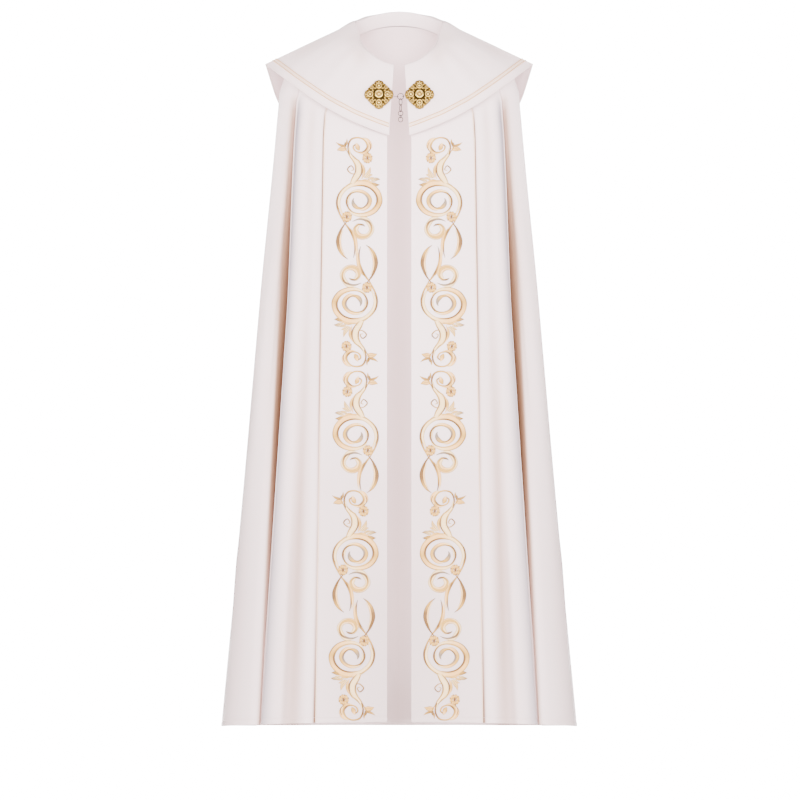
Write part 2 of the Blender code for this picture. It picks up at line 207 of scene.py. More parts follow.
def through(points, x):
    """Catmull-Rom through vectors or numbers; x runs from 0 to len(points) - 1."""
    last = len(points) - 1
    i = min(int(x), last - 1)
    t = x - i
    p1, p2 = points[i], points[i + 1]
    p0 = points[i - 1] if i > 0 else p1 * 2 - p2
    p3 = points[i + 2] if i + 2 <= last else p2 * 2 - p1
    return 0.5 * (2 * p1 + (p2 - p0) * t + (2 * p0 - 5 * p1 + 4 * p2 - p3) * t * t
                  + (3 * p1 - 3 * p2 + p3 - p0) * t * t * t)


def ring_at(down):
    """The ring at a share of the cloth's length, and how far the cloth hangs free (0 to 1)."""
    last = len(RINGS) - 2
    if down >= SHOULDER_SHARE:
        drop = (down - SHOULDER_SHARE) / (1 - SHOULDER_SHARE)
        return Ring(*[lerp(a, b, drop) for a, b in zip(RINGS[-2], RINGS[-1])]), drop
    x = down / SHOULDER_SHARE * last
    i = min(int(x), last - 1)
    return Ring(*[lerp(a, b, x - i) for a, b in zip(RINGS[i], RINGS[i + 1])]), x / last - 1


def turn_at(ring, x):
    return math.asin(min(1.0, (x / ring.half_width) ** (FRONT_SQUARE / 2)))


def plan_point(ring, turn):
    """A point of the outline; turn is 0 at the front centre and pi at the back."""
    s, c = math.sin(turn), math.cos(turn)
    front = c > 0
    power = 2 / (FRONT_SQUARE if front else BACK_SQUARE)
    depth = abs(c) ** power
    return Vector((ring.half_width * max(s, 0.0) ** power,
                   -ring.front * depth if front else ring.back * depth,
                   lerp(ring.z_side, ring.z_front if front else ring.z_back, c * c)))


def plan_out(ring, turn):
    along = (plan_point(ring, min(math.pi, turn + 0.01))
             - plan_point(ring, max(0.0, turn - 0.01)))
    return Vector((along.y, -along.x, 0.0)).normalized()


print("hem girth per half",
      round(sum((plan_point(RINGS[-1], math.pi * k / 90) - plan_point(RINGS[-1],
                 math.pi * (k + 1) / 90)).length for k in range(90)), 3))

# %% [markdown]
# ## Folds
# Cloth that hangs from a shoulder gathers into a few long folds. Each row below is a ridge or
# a trough: where it lies on the cloth, where that has moved to round the body, and how far
# it stands out, at the shoulder, a third of the way down and at the hem. The deep groove
# beside each front panel is open at the top and nearly closed at the hem.

# %% Table of folds
Fold = namedtuple("Fold", "name cloth place_top place_mid place_hem out_top out_mid out_hem")
FOLDS = [
    Fold("front seam", 0.000, 0.000, 0.000, 0.000, 0.000, 0.000, 0.000),
    Fold("seam ridge", 0.030, 0.027, 0.026, 0.024, 0.000, 0.001, 0.003),
    Fold("front trough", 0.068, 0.058, 0.056, 0.058, -0.001, -0.003, -0.006),
    Fold("front roll", 0.115, 0.092, 0.088, 0.098, 0.002, 0.003, 0.008),
    Fold("lip turn", 0.148, 0.128, 0.122, 0.137, 0.004, 0.007, 0.012),
    Fold("front lip", 0.175, 0.157, 0.1480, 0.161, -0.003, -0.006, -0.001),
    Fold("groove floor", 0.215, 0.157, 0.1480, 0.161, -0.022, -0.050, -0.046),
    Fold("side lip", 0.250, 0.168, 0.172, 0.1555, 0.000, 0.001, 0.007),
    Fold("side roll", 0.300, 0.205, 0.212, 0.190, 0.003, 0.005, 0.012),
    Fold("outer roll", 0.350, 0.290, 0.300, 0.285, 0.004, 0.009, 0.014),
    Fold("side valley", 0.430, 0.400, 0.412, 0.425, 0.000, 0.001, 0.001),
    Fold("side back roll", 0.510, 0.480, 0.485, 0.495, 0.002, 0.006, 0.010),
    Fold("first back roll", 0.590, 0.550, 0.548, 0.545, 0.003, 0.008, 0.014),
    Fold("first back groove", 0.670, 0.610, 0.606, 0.600, -0.009, -0.020, -0.036),
    Fold("second back roll", 0.750, 0.690, 0.685, 0.680, 0.004, 0.009, 0.016),
    Fold("second back groove", 0.830, 0.770, 0.765, 0.760, -0.007, -0.016, -0.030),
    Fold("centre roll", 0.920, 0.880, 0.875, 0.870, 0.003, 0.008, 0.014),
    Fold("centre back", 1.000, 1.000, 1.000, 1.000, -0.004, -0.009, -0.018),
]
MID_DROP = 0.30


def three(top, mid, hem, drop):
    """Blend of a value given at the shoulder, a third down and at the hem."""
    if drop < MID_DROP:
        return lerp(top, mid, ease(drop / MID_DROP))
    return lerp(mid, hem, (drop - MID_DROP) / (1 - MID_DROP))


def fold_at(cloth, drop):
    for low, high in zip(FOLDS, FOLDS[1:]):
        if cloth <= high.cloth:
            break
    t = (cloth - low.cloth) / (high.cloth - low.cloth)
    ends = [(three(f.place_top, f.place_mid, f.place_hem, drop),
             three(f.out_top, f.out_mid, f.out_hem, drop)) for f in (low, high)]
    wave = (1 - math.cos(math.pi * t)) / 2
    return lerp(ends[0][0], ends[1][0], t), lerp(ends[0][1], ends[1][1], wave)


Crease = namedtuple("Crease", "cloth lean top bottom width depth")
# Small creases, listed one by one: place on the cloth, sideways lean, heights, half width,
# depth.
CREASES = [
    Crease(0.030, 0.010, -0.30, -1.10, 0.014, -0.0020),
    Crease(0.150, -0.012, -0.55, -1.35, 0.010, 0.0022),
    Crease(0.285, 0.020, -0.24, -0.80, 0.014, -0.0030),
    Crease(0.350, 0.030, -0.30, -0.95, 0.020, -0.0040),
    Crease(0.365, -0.030, -1.05, -1.36, 0.012, 0.0022),
    Crease(0.455, 0.010, -0.26, -0.90, 0.022, -0.0040),
    Crease(0.470, -0.020, -0.80, -1.46, 0.026, -0.0060),
    Crease(0.550, 0.012, -0.30, -1.00, 0.018, -0.0045),
    Crease(0.630, -0.014, -0.26, -0.70, 0.012, 0.0030),
    Crease(0.715, 0.010, -0.50, -1.46, 0.016, -0.0050),
    Crease(0.790, -0.010, -0.28, -0.90, 0.014, 0.0030),
    Crease(0.880, 0.012, -0.45, -1.30, 0.020, -0.0050),
    Crease(0.955, -0.008, -0.60, -1.46, 0.018, 0.0040),
]


def crease_at(cloth, z):
    total = 0.0
    for c in CREASES:
        t = (z - c.top) / (c.bottom - c.top)
        if not 0 < t < 1.15:
            continue
        middle = c.cloth + c.lean * (t - 0.5)
        fade = ease(t * 4) * (1 if c.bottom < -1.44 else ease((1.15 - t) * 3))
        total += c.depth * fade * math.exp(-((cloth - middle) / c.width) ** 2)
    return total


CUT_LENGTH = 1.49
HEM_UP = 0.011              # height of the hem's stitching above the edge
HEM_PROUD, HEM_DIP = 0.0004, 0.0006
SEAM_TUCK, TUCK_REACH = 0.0016, 0.0035


def hem_fold(down):
    """The turned-up hem stands a little proud, with a dip where its stitching pulls it in."""
    up = (1 - down) * CUT_LENGTH
    dip = math.exp(-((up - HEM_UP) / 0.002) ** 2)
    return HEM_PROUD * ease((0.0080 - up) / 0.003) - HEM_DIP * dip


def mantle_point(cloth, down):
    """A point of the wearer's left mantle half."""
    ring, drop = ring_at(down)
    gate = ease((drop + 0.45) / 0.45) if drop < 0 else 1.0
    drop = max(drop, 0.0)
    place, out = fold_at(cloth, drop)
    turn = lerp(turn_at(ring, ring.seam_x + SEAM_GAP / 2), math.pi, place)
    point = plan_point(ring, turn)
    tuck = SEAM_TUCK * math.exp(-(cloth / TUCK_REACH) ** 2) * ease(drop * 10) - hem_fold(down)
    point += plan_out(ring, turn) * (out * gate + crease_at(cloth, point.z) - tuck)
    point.x = max(point.x, 0.0)
    return point


print("folds", len(FOLDS), "small creases", len(CREASES))

# %% [markdown]
# ## From flat grid to hanging cloth
# A sheet starts as what it is on the cutting table: a flat grid. Every point of the grid is
# then carried to its place on the hanging form, and Solidify gives the cloth its wall. The
# grid's own UV map stays on it, stretched to real metres, so a weave keeps its scale.

# %% Sheet maker
SAME_SPOT = 1e-6            # points nearer to each other than this are one point


def only(item=None):
    """Nothing selected but one piece, so that an operator acts on that piece alone."""
    for other in bpy.context.selected_objects:
        other.select_set(False)
    if item:
        item.select_set(True)
        bpy.context.view_layer.objects.active = item
    return item


def named(name):
    item = bpy.context.object
    item.name = item.data.name = name
    return item


def settle(item):
    """Put the object's place into its mesh."""
    only(item)
    bpy.ops.object.transform_apply(location=True, rotation=True, scale=True)
    return item


def modify(item, kind, **settings):
    only(item)
    added = item.modifiers.new(kind, kind)
    for key, value in settings.items():
        setattr(added, key, value)
    bpy.ops.object.modifier_apply(modifier=added.name)
    return item


def smooth(item, degrees):
    only(item)
    bpy.ops.object.shade_smooth_by_angle(angle=math.radians(degrees))
    return item


def dress(item, node, material):
    """Material, body and the CAD node that a piece stands for."""
    item.data.materials.clear()
    item.data.materials.append(material)
    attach(item, "cope")
    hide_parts(node)
    return item


def sheet(name, across, down, place, size, wall, tint=None, spread=None):
    """A grid carried to place(u, v), u across and v down, both from 0 to 1.

    tint(u, v) is painted on as a colour, and spread(u, v) shifts the grid's own lines, so
    that they lie closer together where the cloth turns sharply.
    """
    only()
    bpy.ops.mesh.primitive_grid_add(x_subdivisions=across, y_subdivisions=down, size=1)
    item = named(name)
    mesh = item.data
    spots = [(min(max(p.co.x + 0.5, 0.0), 1.0), min(max(0.5 - p.co.y, 0.0), 1.0))
             for p in mesh.vertices]
    spots = [spread(u, v) for u, v in spots] if spread else spots
    for vertex, (u, v) in zip(mesh.vertices, spots):
        vertex.co = place(u, v)
    if tint:
        colours = mesh.color_attributes.new("tint", "FLOAT_COLOR", "POINT")
        for colour, (u, v) in zip(colours.data, spots):
            colour.color = (*tint(u, v), 1.0)
    for corner, loop in zip(mesh.loops, item.data.uv_layers[0].data):
        u, v = spots[corner.vertex_index]
        loop.uv = (u * size[0], v * size[1])
    if wall:
        modify(item, "SOLIDIFY", thickness=wall, offset=-1.0, use_quality_normals=True)
    return smooth(item, 60)


def out_of(place, u, v, step=0.004):
    """Direction out of a sheet at (u, v)."""
    across = place(min(u + step, 1.0), v) - place(max(u - step, 0.0), v)
    down = place(u, min(v + step, 1.0)) - place(u, max(v - step, 0.0))
    return down.cross(across).normalized()


def weld(item):
    """Merge points that lie on each other, so that a rolled-up grid closes."""
    only(item)
    bpy.ops.object.mode_set(mode="EDIT")
    bpy.ops.mesh.select_all(action="SELECT")
    bpy.ops.mesh.remove_doubles(threshold=SAME_SPOT)
    bpy.ops.mesh.normals_make_consistent(inside=False)
    bpy.ops.object.mode_set(mode="OBJECT")
    return item


def join(name, items):
    """Several meshes made one piece."""
    only(items[0])
    for item in items:
        item.select_set(True)
    bpy.ops.object.join()
    return named(name)


def girth(place, v, steps=400):
    points = [place(k / steps, v) for k in range(steps + 1)]
    return sum((b - a).length for a, b in zip(points, points[1:]))


def mirrored(place):
    """The same cloth on the wearer's right; u is turned round to keep the face outwards."""
    def right(u, v):
        point = place(1 - u, v)
        return Vector((-point.x, point.y, point.z))
    return right


# %% [markdown]
# ## Rose satin
# The cloth is a heavy satin, the palest rose, nearly white where light falls on it flat. The
# brown-rose deep in a fold and the cool grey of a turned edge are painted shade, mixed into
# its colour from the tint attribute. Satin floats long threads over short ones, so its weave
# is a fine slanting rib. Sheen gives the milky edge that cloth shows at a grazing view.

# %% Satin material
def satin(name, base, shade, fold_shade, deep_shade, cool):
    cloth = Shader(name, Roughness=0.5, Sheen_Weight=0.06, Sheen_Roughness=0.4,
                   Sheen_Tint=rgb(1.0, 0.93, 0.91), Specular_IOR_Level=0.12)
    tint = cloth.node("ShaderNodeAttribute", {"attribute_name": "tint"}, output="Color")
    # The tint attribute carries painted shade: warm shade of folds in its first channel, cool
    # shade of turned edges in its second.
    warm_painted_shade, cool_painted_shade, _ = cloth.split(tint)
    u, v, _ = cloth.split(cloth.uv())
    cloud = cloth.noise(cloth.place(), 5.0, 3.0)
    slub = cloth.noise(cloth.uv((900, 40, 1)), 1.0, 2.0)
    rib = ((u * 2.0 + v) * 5200).sine()
    weft = (v * 9000).sine()
    tone = (cloud * 0.6 + slub * 0.4 - 0.32).clamp()
    # Painted shade: the warm fold colour, then the near-black deep colour where the warm channel
    # is strongest, then the cool grey of turned edges.
    colour = cloth.mix(warm_painted_shade, cloth.mix(tone, shade, base), fold_shade)
    colour = cloth.mix(warm_painted_shade * warm_painted_shade * warm_painted_shade * warm_painted_shade, colour, deep_shade)
    colour = cloth.mix(cool_painted_shade, colour, cool)
    height = rib * 0.5 + weft * 0.3 + slub * 1.2
    cloth.feed(Base_Color=colour, Normal=cloth.bump(height, 0.10, 0.0004),
               Roughness=cloud * 0.12 + 0.42)
    return cloth.material


# The last three colours are painted shade: warm brown-rose in folds, near-black in the deepest
# grooves, cool grey on turned edges.
rose_satin = satin("rose satin", rgb(0.84, 0.68, 0.69), rgb(0.80, 0.63, 0.635),
                   rgb(0.37, 0.195, 0.125), rgb(0.155, 0.078, 0.044), rgb(0.10, 0.09, 0.12))

print("satin", len(rose_satin.node_tree.nodes), "nodes")

# %% [markdown]
# ## Painted fold shade
# The shade in the folds is painted into the satin's colour. It stands in for the shadow deep
# in a fold, deepened in colour by light that has met the rose cloth many times, and for the
# cool grey of a turned edge. Each row gives a place on the cloth, how softly the painted shade
# fades to the front and to the side, how sharply it ends, how much of it is the cool shade of
# a turned edge, and its strength at six heights from the shoulder to the hem.

# %% Painted fold shade
FoldShade = namedtuple("FoldShade", "name cloth front side edge cool strengths")
FOLD_SHADES = [
    FoldShade("beside the piping", 0.000, 0.010, 0.012, 2, 0.3, (0.20, 0.40, 0.30, 0.20, 0.20, 0.40)),
    FoldShade("in the seam", 0.000, 0.010, 0.0072, 4, 0.0, (1.00, 0.92, 0.75, 0.35, 0.45, 0.95)),
    FoldShade("front trough", 0.070, 0.027, 0.030, 2, 0.1, (0.25, 0.10, 0.38, 0.60, 0.66, 0.56)),
    FoldShade("low crease", 0.094, 0.008, 0.008, 2, 0.4, (0.00, 0.00, 0.00, 0.00, 0.26, 0.30)),
    FoldShade("lip shade", 0.153, 0.023, 0.012, 2, 1.0, (0.80, 0.80, 0.72, 0.70, 0.66, 0.60)),
    FoldShade("groove", 0.238, 0.034, 0.0225, 4, 0.0, (0.60, 0.90, 1.00, 0.95, 0.76, 0.68)),
    FoldShade("inner slant", 0.260, 0.030, 0.033, 2, 0.0, (0.68, 0.84, 0.42, 0.16, 0.04, 0.00)),
    FoldShade("side edge", 0.400, 0.038, 0.060, 2, 0.55, (0.05, 0.52, 0.76, 0.76, 0.74, 0.70)),
    FoldShade("low side", 0.380, 0.072, 0.060, 2, 0.5, (0.00, 0.00, 0.08, 0.38, 0.56, 0.50)),
    FoldShade("first back groove", 0.670, 0.026, 0.026, 2, 0.2, (0.15, 0.50, 0.75, 0.80, 0.70, 0.55)),
    FoldShade("second back groove", 0.830, 0.026, 0.026, 2, 0.2, (0.15, 0.40, 0.60, 0.70, 0.60, 0.5)),
    FoldShade("centre back", 1.000, 0.020, 0.020, 2, 0.2, (0.20, 0.25, 0.30, 0.35, 0.35, 0.30)),
]


SHADE_HEIGHTS = 6
HANG_TOP, HANG_LENGTH = -0.2, 1.26
CREASE_SHADE = 25            # tone for each metre that a small crease is deep


def mantle_painted_shade(cloth, down):
    """Warm and cool painted shade at a place on the cloth."""
    _, drop = ring_at(down)
    height = max(drop, 0.0) * (SHADE_HEIGHTS - 1)
    warm_clear = cool_clear = 1.0
    for row in FOLD_SHADES:
        reach = row.front if cloth < row.cloth else row.side
        fade = math.exp(-abs((cloth - row.cloth) / reach) ** row.edge)
        strength = min(max(through(row.strengths, height) * fade, 0.0), 1.0)
        warm_clear *= 1 - strength * (1 - row.cool)
        cool_clear *= 1 - strength * row.cool
    hanging = HANG_TOP - HANG_LENGTH * drop if drop > 0 else 0.0
    # Painted shade in each small crease, stronger as the crease is deeper.
    dent = max(0.0, -crease_at(cloth, hanging)) * CREASE_SHADE
    gate = ease((drop + 0.35) * 4)
    return ((1 - warm_clear * (1 - dent)) * gate, (1 - cool_clear) * gate, 0.0)


print("tones", len(FOLD_SHADES))

# %% [markdown]
# ## The mantle
# Two halves, joined at the centre back. Each is one sheet on a fine grid, whose lines crowd
# together at the front seam and at the hem.

# %% Mantle halves
CLOTH = 0.0015
MANTLE_ACROSS, MANTLE_DOWN = 250, 108
SEAM_COLUMNS, SEAM_SHARE = 0.04, 0.012
HEM_ROWS, HEM_SHARE = 0.06, 0.012


def close_lines(u, v):
    """Grid lines crowded at the front seam and at the hem."""
    if u < SEAM_COLUMNS:
        u = u * SEAM_SHARE / SEAM_COLUMNS
    else:
        u = lerp(SEAM_SHARE, 1.0, (u - SEAM_COLUMNS) / (1 - SEAM_COLUMNS))
    return u, close_rows(v)


def close_rows(v):
    if v > 1 - HEM_ROWS:
        return 1 - (1 - v) * HEM_SHARE / HEM_ROWS
    return v / (1 - HEM_ROWS) * (1 - HEM_SHARE)


def close_lines_right(u, v):
    back, down = close_lines(1 - u, v)
    return 1 - back, down


def make_mantle(name, place, node, tone, lines):
    width = girth(place, 1.0)
    half = sheet(name, MANTLE_ACROSS, MANTLE_DOWN, place, (width, CUT_LENGTH), CLOTH, tone,
                 lines)
    dress(half, node, rose_satin)
    area = sum(p.area for p in half.data.polygons) / 2
    print(name, "hem", round(width, 3), "neck", round(girth(place, 0.0), 3), "area",
          round(area, 3))
    return half


make_mantle("mantle_half_left", mantle_point, "mantle_left", mantle_painted_shade, close_lines)
make_mantle("mantle_half_right", mirrored(mantle_point), "mantle_right",
            lambda u, v: mantle_painted_shade(1 - u, v), close_lines_right)

# %% [markdown]
# ## The orphreys
# The band down each front edge is interlined, so it hangs nearly flat. It keeps one width
# to the eye and widens a little to the hem.

# %% Orphrey bands
BAND_LENGTH = 1.43
BAND_ACROSS, BAND_DOWN = 24, 110


def orphrey_point(u, v):
    """u runs from the free front edge to the seam."""
    ring, drop = ring_at(v)
    x = lerp(ring.edge_x, ring.seam_x - SEAM_GAP / 2, u)
    point = plan_point(ring, turn_at(ring, x))
    if drop > 0:
        sway = math.sin(math.pi * u) * math.sin(5.0 * point.z + 0.6) * ease(drop * 6)
        point.y -= 0.0016 * sway + hem_fold(v)
    return point


def orphrey_painted_shade(u, v):
    """Painted shade on the bands, darker lower down and towards the free edge."""
    _, drop = ring_at(v)
    low = ease((drop - 0.44) * 6)
    tone = low * lerp(0.24, 0.17, u) + 0.14 * ease((drop - 0.66) * 6) * (1 - u)
    return (tone * 0.6, tone * 0.4, 0.0)


def make_orphrey(name, place, node, tone):
    size = (girth(place, 1.0), BAND_LENGTH)
    band = sheet(name, BAND_ACROSS, BAND_DOWN, place, size, CLOTH, tone,
                 lambda u, v: (u, close_rows(v)))
    dress(band, node, rose_satin)
    area = sum(p.area for p in band.data.polygons) / 2
    print(name, [round(s, 3) for s in size], "area", round(area, 3))
    return band


make_orphrey("orphrey_band_left", orphrey_point, "orphrey_left", orphrey_painted_shade)
make_orphrey("orphrey_band_right", mirrored(orphrey_point), "orphrey_right",
             lambda u, v: orphrey_painted_shade(1 - u, v))

# %% [markdown]
# ## The collar
# A cope's hood has become a wide flat collar that turns down from the neck: two points lie
# on the chest, the sides reach past the shoulders to a sharp corner, and the back hangs as
# a shield. Spokes run from the roll at the neck to the edge, and the cloth is stretched
# smoothly from spoke to spoke, with one corner kept at the tip of the shoulder.

# %% Spokes of the collar
Spoke = namedtuple("Spoke", "name neck edge rise")
FRONT_SPOKES = [
    Spoke("front edge", (0.0110, -0.108, -0.0740), (0.0214, -0.166, -0.2220), 0.0040),
    Spoke("clasp", (0.0403, -0.104, -0.0630), (0.0613, -0.163, -0.2075), 0.0055),
    Spoke("chest", (0.0640, -0.090, -0.0460), (0.1140, -0.155, -0.1845), 0.0095),
    Spoke("front shoulder", (0.0800, -0.068, -0.0290), (0.1662, -0.137, -0.1550), 0.0140),
    Spoke("upper arm", (0.0870, -0.038, -0.0100), (0.2186, -0.096, -0.1190), 0.0140),
    Spoke("shoulder front", (0.0915, -0.015, 0.0060), (0.2560, -0.043, -0.0905), 0.0070),
    Spoke("shoulder", (0.0948, 0.004, 0.0170), (0.2815, 0.008, -0.0711), 0.0),
]
BACK_SPOKES = [
    FRONT_SPOKES[-1],
    Spoke("shoulder back", (0.0930, 0.022, 0.0190), (0.2640, 0.062, -0.1280), 0.0120),
    Spoke("blade", (0.0822, 0.046, 0.0212), (0.2480, 0.100, -0.1750), 0.0230),
    Spoke("upper back", (0.0660, 0.064, 0.0280), (0.2260, 0.132, -0.2620), 0.0330),
    Spoke("hood side", (0.0480, 0.076, 0.0330), (0.1830, 0.155, -0.3640), 0.0360),
    Spoke("hood corner", (0.0250, 0.085, 0.0380), (0.1020, 0.172, -0.4330), 0.0360),
    Spoke("centre back", (0.0000, 0.088, 0.0400), (0.0000, 0.178, -0.4600), 0.0350),
]
SHOULDER_SPOKE = len(FRONT_SPOKES) - 1
LAST_SPOKE = SHOULDER_SPOKE + len(BACK_SPOKES) - 1
COLLAR_CLOTH = 0.0020
Ripple = namedtuple("Ripple", "spoke lean start end width depth")
# Soft dents of the collar: place counted in spokes, lean to the edge, depth in metres.
RIPPLES = [
    Ripple(1.50, 0.4, 0.05, 0.95, 0.30, -0.0016),
    Ripple(2.60, 0.5, 0.00, 0.90, 0.35, -0.0026),
    Ripple(3.50, 0.4, 0.00, 0.80, 0.30, -0.0022),
    Ripple(4.60, 0.3, 0.10, 1.00, 0.30, 0.0016),
    Ripple(7.60, 0.3, 0.15, 1.05, 0.35, -0.0030),
    Ripple(8.70, 0.2, 0.20, 1.05, 0.40, 0.0030),
    Ripple(9.80, 0.2, 0.15, 1.05, 0.35, -0.0035),
    Ripple(11.0, 0.3, 0.30, 1.05, 0.40, 0.0030),
]
spoke_cache = {}


def collar_spoke(x):
    """Neck, edge and rise at x spokes from the front edge (0) to the centre back (12)."""
    key = round(x, 5)
    if key not in spoke_cache:
        front = x <= SHOULDER_SPOKE
        spokes, at = (FRONT_SPOKES, x) if front else (BACK_SPOKES, x - SHOULDER_SPOKE)
        spoke_cache[key] = (through([Vector(s.neck) for s in spokes], at),
                            through([Vector(s.edge) for s in spokes], at),
                            through([s.rise for s in spokes], at))
    return spoke_cache[key]


def collar_point(u, share):
    """u runs from the wearer's left front edge round the back to the right one."""
    x = LAST_SPOKE * (1 - abs(2 * u - 1))
    neck, edge, rise = collar_spoke(x)
    point = neck.lerp(edge, share)
    away = Vector((point.x * 0.4, point.y, 0.0)).normalized() + Vector((0, 0, 0.6))
    away.normalize()
    ripple = sum(r.depth * math.exp(-((x - r.spoke - r.lean * (share - 0.5)) / r.width) ** 2)
                 * ease((share - r.start) * 3) * ease((r.end + 0.2 - share) * 4)
                 for r in RIPPLES if abs(x - r.spoke) < 4 * r.width)
    point += away * (rise * 2.6 * math.sqrt(share) * (1 - share) + ripple)
    return Vector((point.x if u <= 0.5 else -point.x, point.y, point.z))


def edge_gap(u, gap):
    """Share at which the collar lies a gap inside its outer edge."""
    neck, edge, _ = collar_spoke(LAST_SPOKE * (1 - abs(2 * u - 1)))
    return 1 - gap / (edge - neck).length


collar_edge = girth(collar_point, 1.0)
print("collar edge", round(collar_edge, 3), "neck", round(girth(collar_point, 0.0), 3))

# %% [markdown]
# The sheet's rows are closer together at the roll and at the edge, where it turns sharply.

# %% Collar sheet
COLLAR_LENGTH = 0.30
COLLAR_AROUND, COLLAR_DOWN = 288, 68
ROLL_ROWS = 0.06
ROLL_IN, ROLL_DROP = 0.0050, 0.0075


def collar_cloth(u, v):
    """The first rows roll over the neck edge and down inside, to meet the stand."""
    if v >= ROLL_ROWS:
        return collar_point(u, (v - ROLL_ROWS) / (1 - ROLL_ROWS))
    turn = (1 - v / ROLL_ROWS) * math.pi / 2
    roll = collar_point(u, 0.0)
    inward = Vector((roll.x, roll.y, 0.0)).normalized()
    drop = Vector((0, 0, ROLL_DROP * (1 - math.cos(turn))))
    return roll - inward * ROLL_IN * math.sin(turn) - drop


# Painted shade on the collar: a thin line along the shoulder ridge, and soft patches in its
# dents and hollows. Each row gives the place in spokes, the share of the way to the edge, width,
# length and strength.
Patch = namedtuple("Patch", "name spoke share wide long strength")
COLLAR_SHADES = [
    Patch("shade along the ridge", 6.00, 0.50, 0.05, 0.60, 0.70),
    Patch("dent at the throat", 2.40, 0.12, 0.80, 0.14, 0.26),
    Patch("dent below the roll", 3.80, 0.08, 0.60, 0.10, 0.14),
    Patch("dent by the clasp", 1.60, 0.70, 0.50, 0.10, 0.08),
    Patch("shoulder hollow", 5.40, 0.55, 0.40, 0.22, 0.16),
    Patch("blade hollow", 8.30, 0.70, 0.60, 0.40, 0.16),
    Patch("hood hollow", 10.20, 0.75, 0.60, 0.40, 0.16),
]


def collar_painted_shade(u, v):
    x = LAST_SPOKE * (1 - abs(2 * u - 1))
    share = max(0.0, (v - ROLL_ROWS) / (1 - ROLL_ROWS))
    # Painted shade in a narrow band along the outer edge, and in the patches of the table.
    tone = 0.14 * ease((share - 0.955) * 25)
    for p in COLLAR_SHADES:
        tone += p.strength * math.exp(-((x - p.spoke) / p.wide) ** 2
                                      - ((share - p.share) / p.long) ** 2)
    return (tone, 0.0, 0.0)


collar = sheet("collar", COLLAR_AROUND, COLLAR_DOWN, collar_cloth, (collar_edge, COLLAR_LENGTH),
               COLLAR_CLOTH, collar_painted_shade)
modify(collar, "BEVEL", width=0.0007, segments=2, angle_limit=math.radians(60))
dress(collar, "collar", rose_satin)
collar_area = sum(p.area for p in collar.data.polygons) / 2
print("collar area", round(collar_area, 3), "faces", len(collar.data.polygons))

# %% [markdown]
# ## The neck stand
# The collar turns over a low upright band at the neck. From the front, its inner side shows
# behind the throat, and a narrow roll of it follows the neckline down to the clasp.

# %% Neck stand
def turn_towards(ring, spot):
    """Angle of the plan that lies in the same direction as a spot."""
    wanted = math.atan2(spot.x, -spot.y)
    low, high = 0.0, math.pi
    for _ in range(26):
        middle = (low + high) / 2
        point = plan_point(ring, middle)
        if math.atan2(point.x, -point.y) < wanted:
            low = middle
        else:
            high = middle
    return low


def stand_point(u, v):
    """v runs from the roll at the top to the mantle's neck seam."""
    roll = collar_point(min(u, 1 - u), 0.0)
    inward = Vector((roll.x, roll.y, 0.0)).normalized()
    top = roll - inward * (COLLAR_CLOTH + 4 * SEAM_GAP) - Vector((0, 0, 0.0010))
    seat = plan_point(RINGS[0], turn_towards(RINGS[0], roll))
    pull = Vector((seat.x, seat.y, 0.0)).normalized() * CLOTH / 2
    bottom = seat - pull + Vector((0, 0, 4 * SEAM_GAP))
    point = top.lerp(bottom, v) - inward * 0.0012 * math.sin(math.pi * v)
    return Vector((point.x if u <= 0.5 else -point.x, point.y, point.z))


STAND_WEAVE = 0.036         # height that the weave is laid out for
stand_length = girth(stand_point, 0.0)
stand = sheet("neck_stand_band", 160, 10, stand_point, (stand_length, STAND_WEAVE), CLOTH)
modify(stand, "BEVEL", width=0.0005, segments=2, angle_limit=math.radians(60))
dress(stand, "neck_stand", rose_satin)
stand_area = sum(p.area for p in stand.data.polygons) / 2
print("neck stand", round(stand_length, 3), "area", round(stand_area, 4))

# %% [markdown]
# ## Cords
# Piping, the gold lines of the braid and the wire of the clasp are all round lengths of
# something. A grid is rolled up round a path for each. A twist presses the tube in and out
# as it goes, which leaves the two plies of a real cord.

# %% Cord maker
PLY_DENT = 0.22             # how deep the line between two plies is, as a share of the radius


def cord(name, path, steps, radius, side, around, plies=0.0, closed=False, pinch=0):
    """A round cord along path(t); plies is how many half turns it is twisted in all, and
    pinch how many stitches it is parted into."""
    def place(u, v):
        t = v % 1.0 if closed else v
        here = path(t)
        ahead = path((t + 0.4 / steps) % 1.0 if closed else min(1.0, t + 0.4 / steps))
        back = path((t - 0.4 / steps) % 1.0 if closed else max(0.0, t - 0.4 / steps))
        along = (ahead - back).normalized()
        first = along.cross(side).normalized()
        second = first.cross(along)
        angle = 2 * math.pi * u
        reach = radius
        if plies:
            reach *= 1 - PLY_DENT * (1 - abs(math.cos(angle - math.pi * plies * v)))
        if pinch:
            reach *= 0.15 + 0.85 * abs(math.sin(math.pi * pinch * v))
        if not closed:
            reach *= min(1.0, math.sqrt(min(v, 1 - v) * steps))
        return here + (first * math.cos(angle) + second * math.sin(angle)) * reach

    length = sum((path((k + 1) / 100) - path(k / 100)).length for k in range(100))
    item = sheet(name, around, steps, place, (2 * math.pi * radius, length), 0)
    weld(item)
    return smooth(item, 60)


def thread_cloth(name, colour, dark, lustre):
    """Fine metal-wrapped thread: short bright windings over a matte core."""
    thread = Shader(name, Roughness=0.42, Sheen_Weight=0.15, Metallic=lustre)
    u, v, _ = thread.split(thread.uv())
    winding = ((v * 1.0 + u * 0.6) * 7000).sine() * 0.5 + 0.5
    cloud = thread.noise(thread.place(), 260.0, 2.0)
    tone = (winding * 0.55 + cloud * 0.6 - 0.1).clamp()
    return thread.feed(Base_Color=thread.mix(tone, rgb(*dark), rgb(*colour)),
                       Normal=thread.bump(winding, 0.35, 0.0002),
                       Roughness=cloud * 0.2 + 0.32)


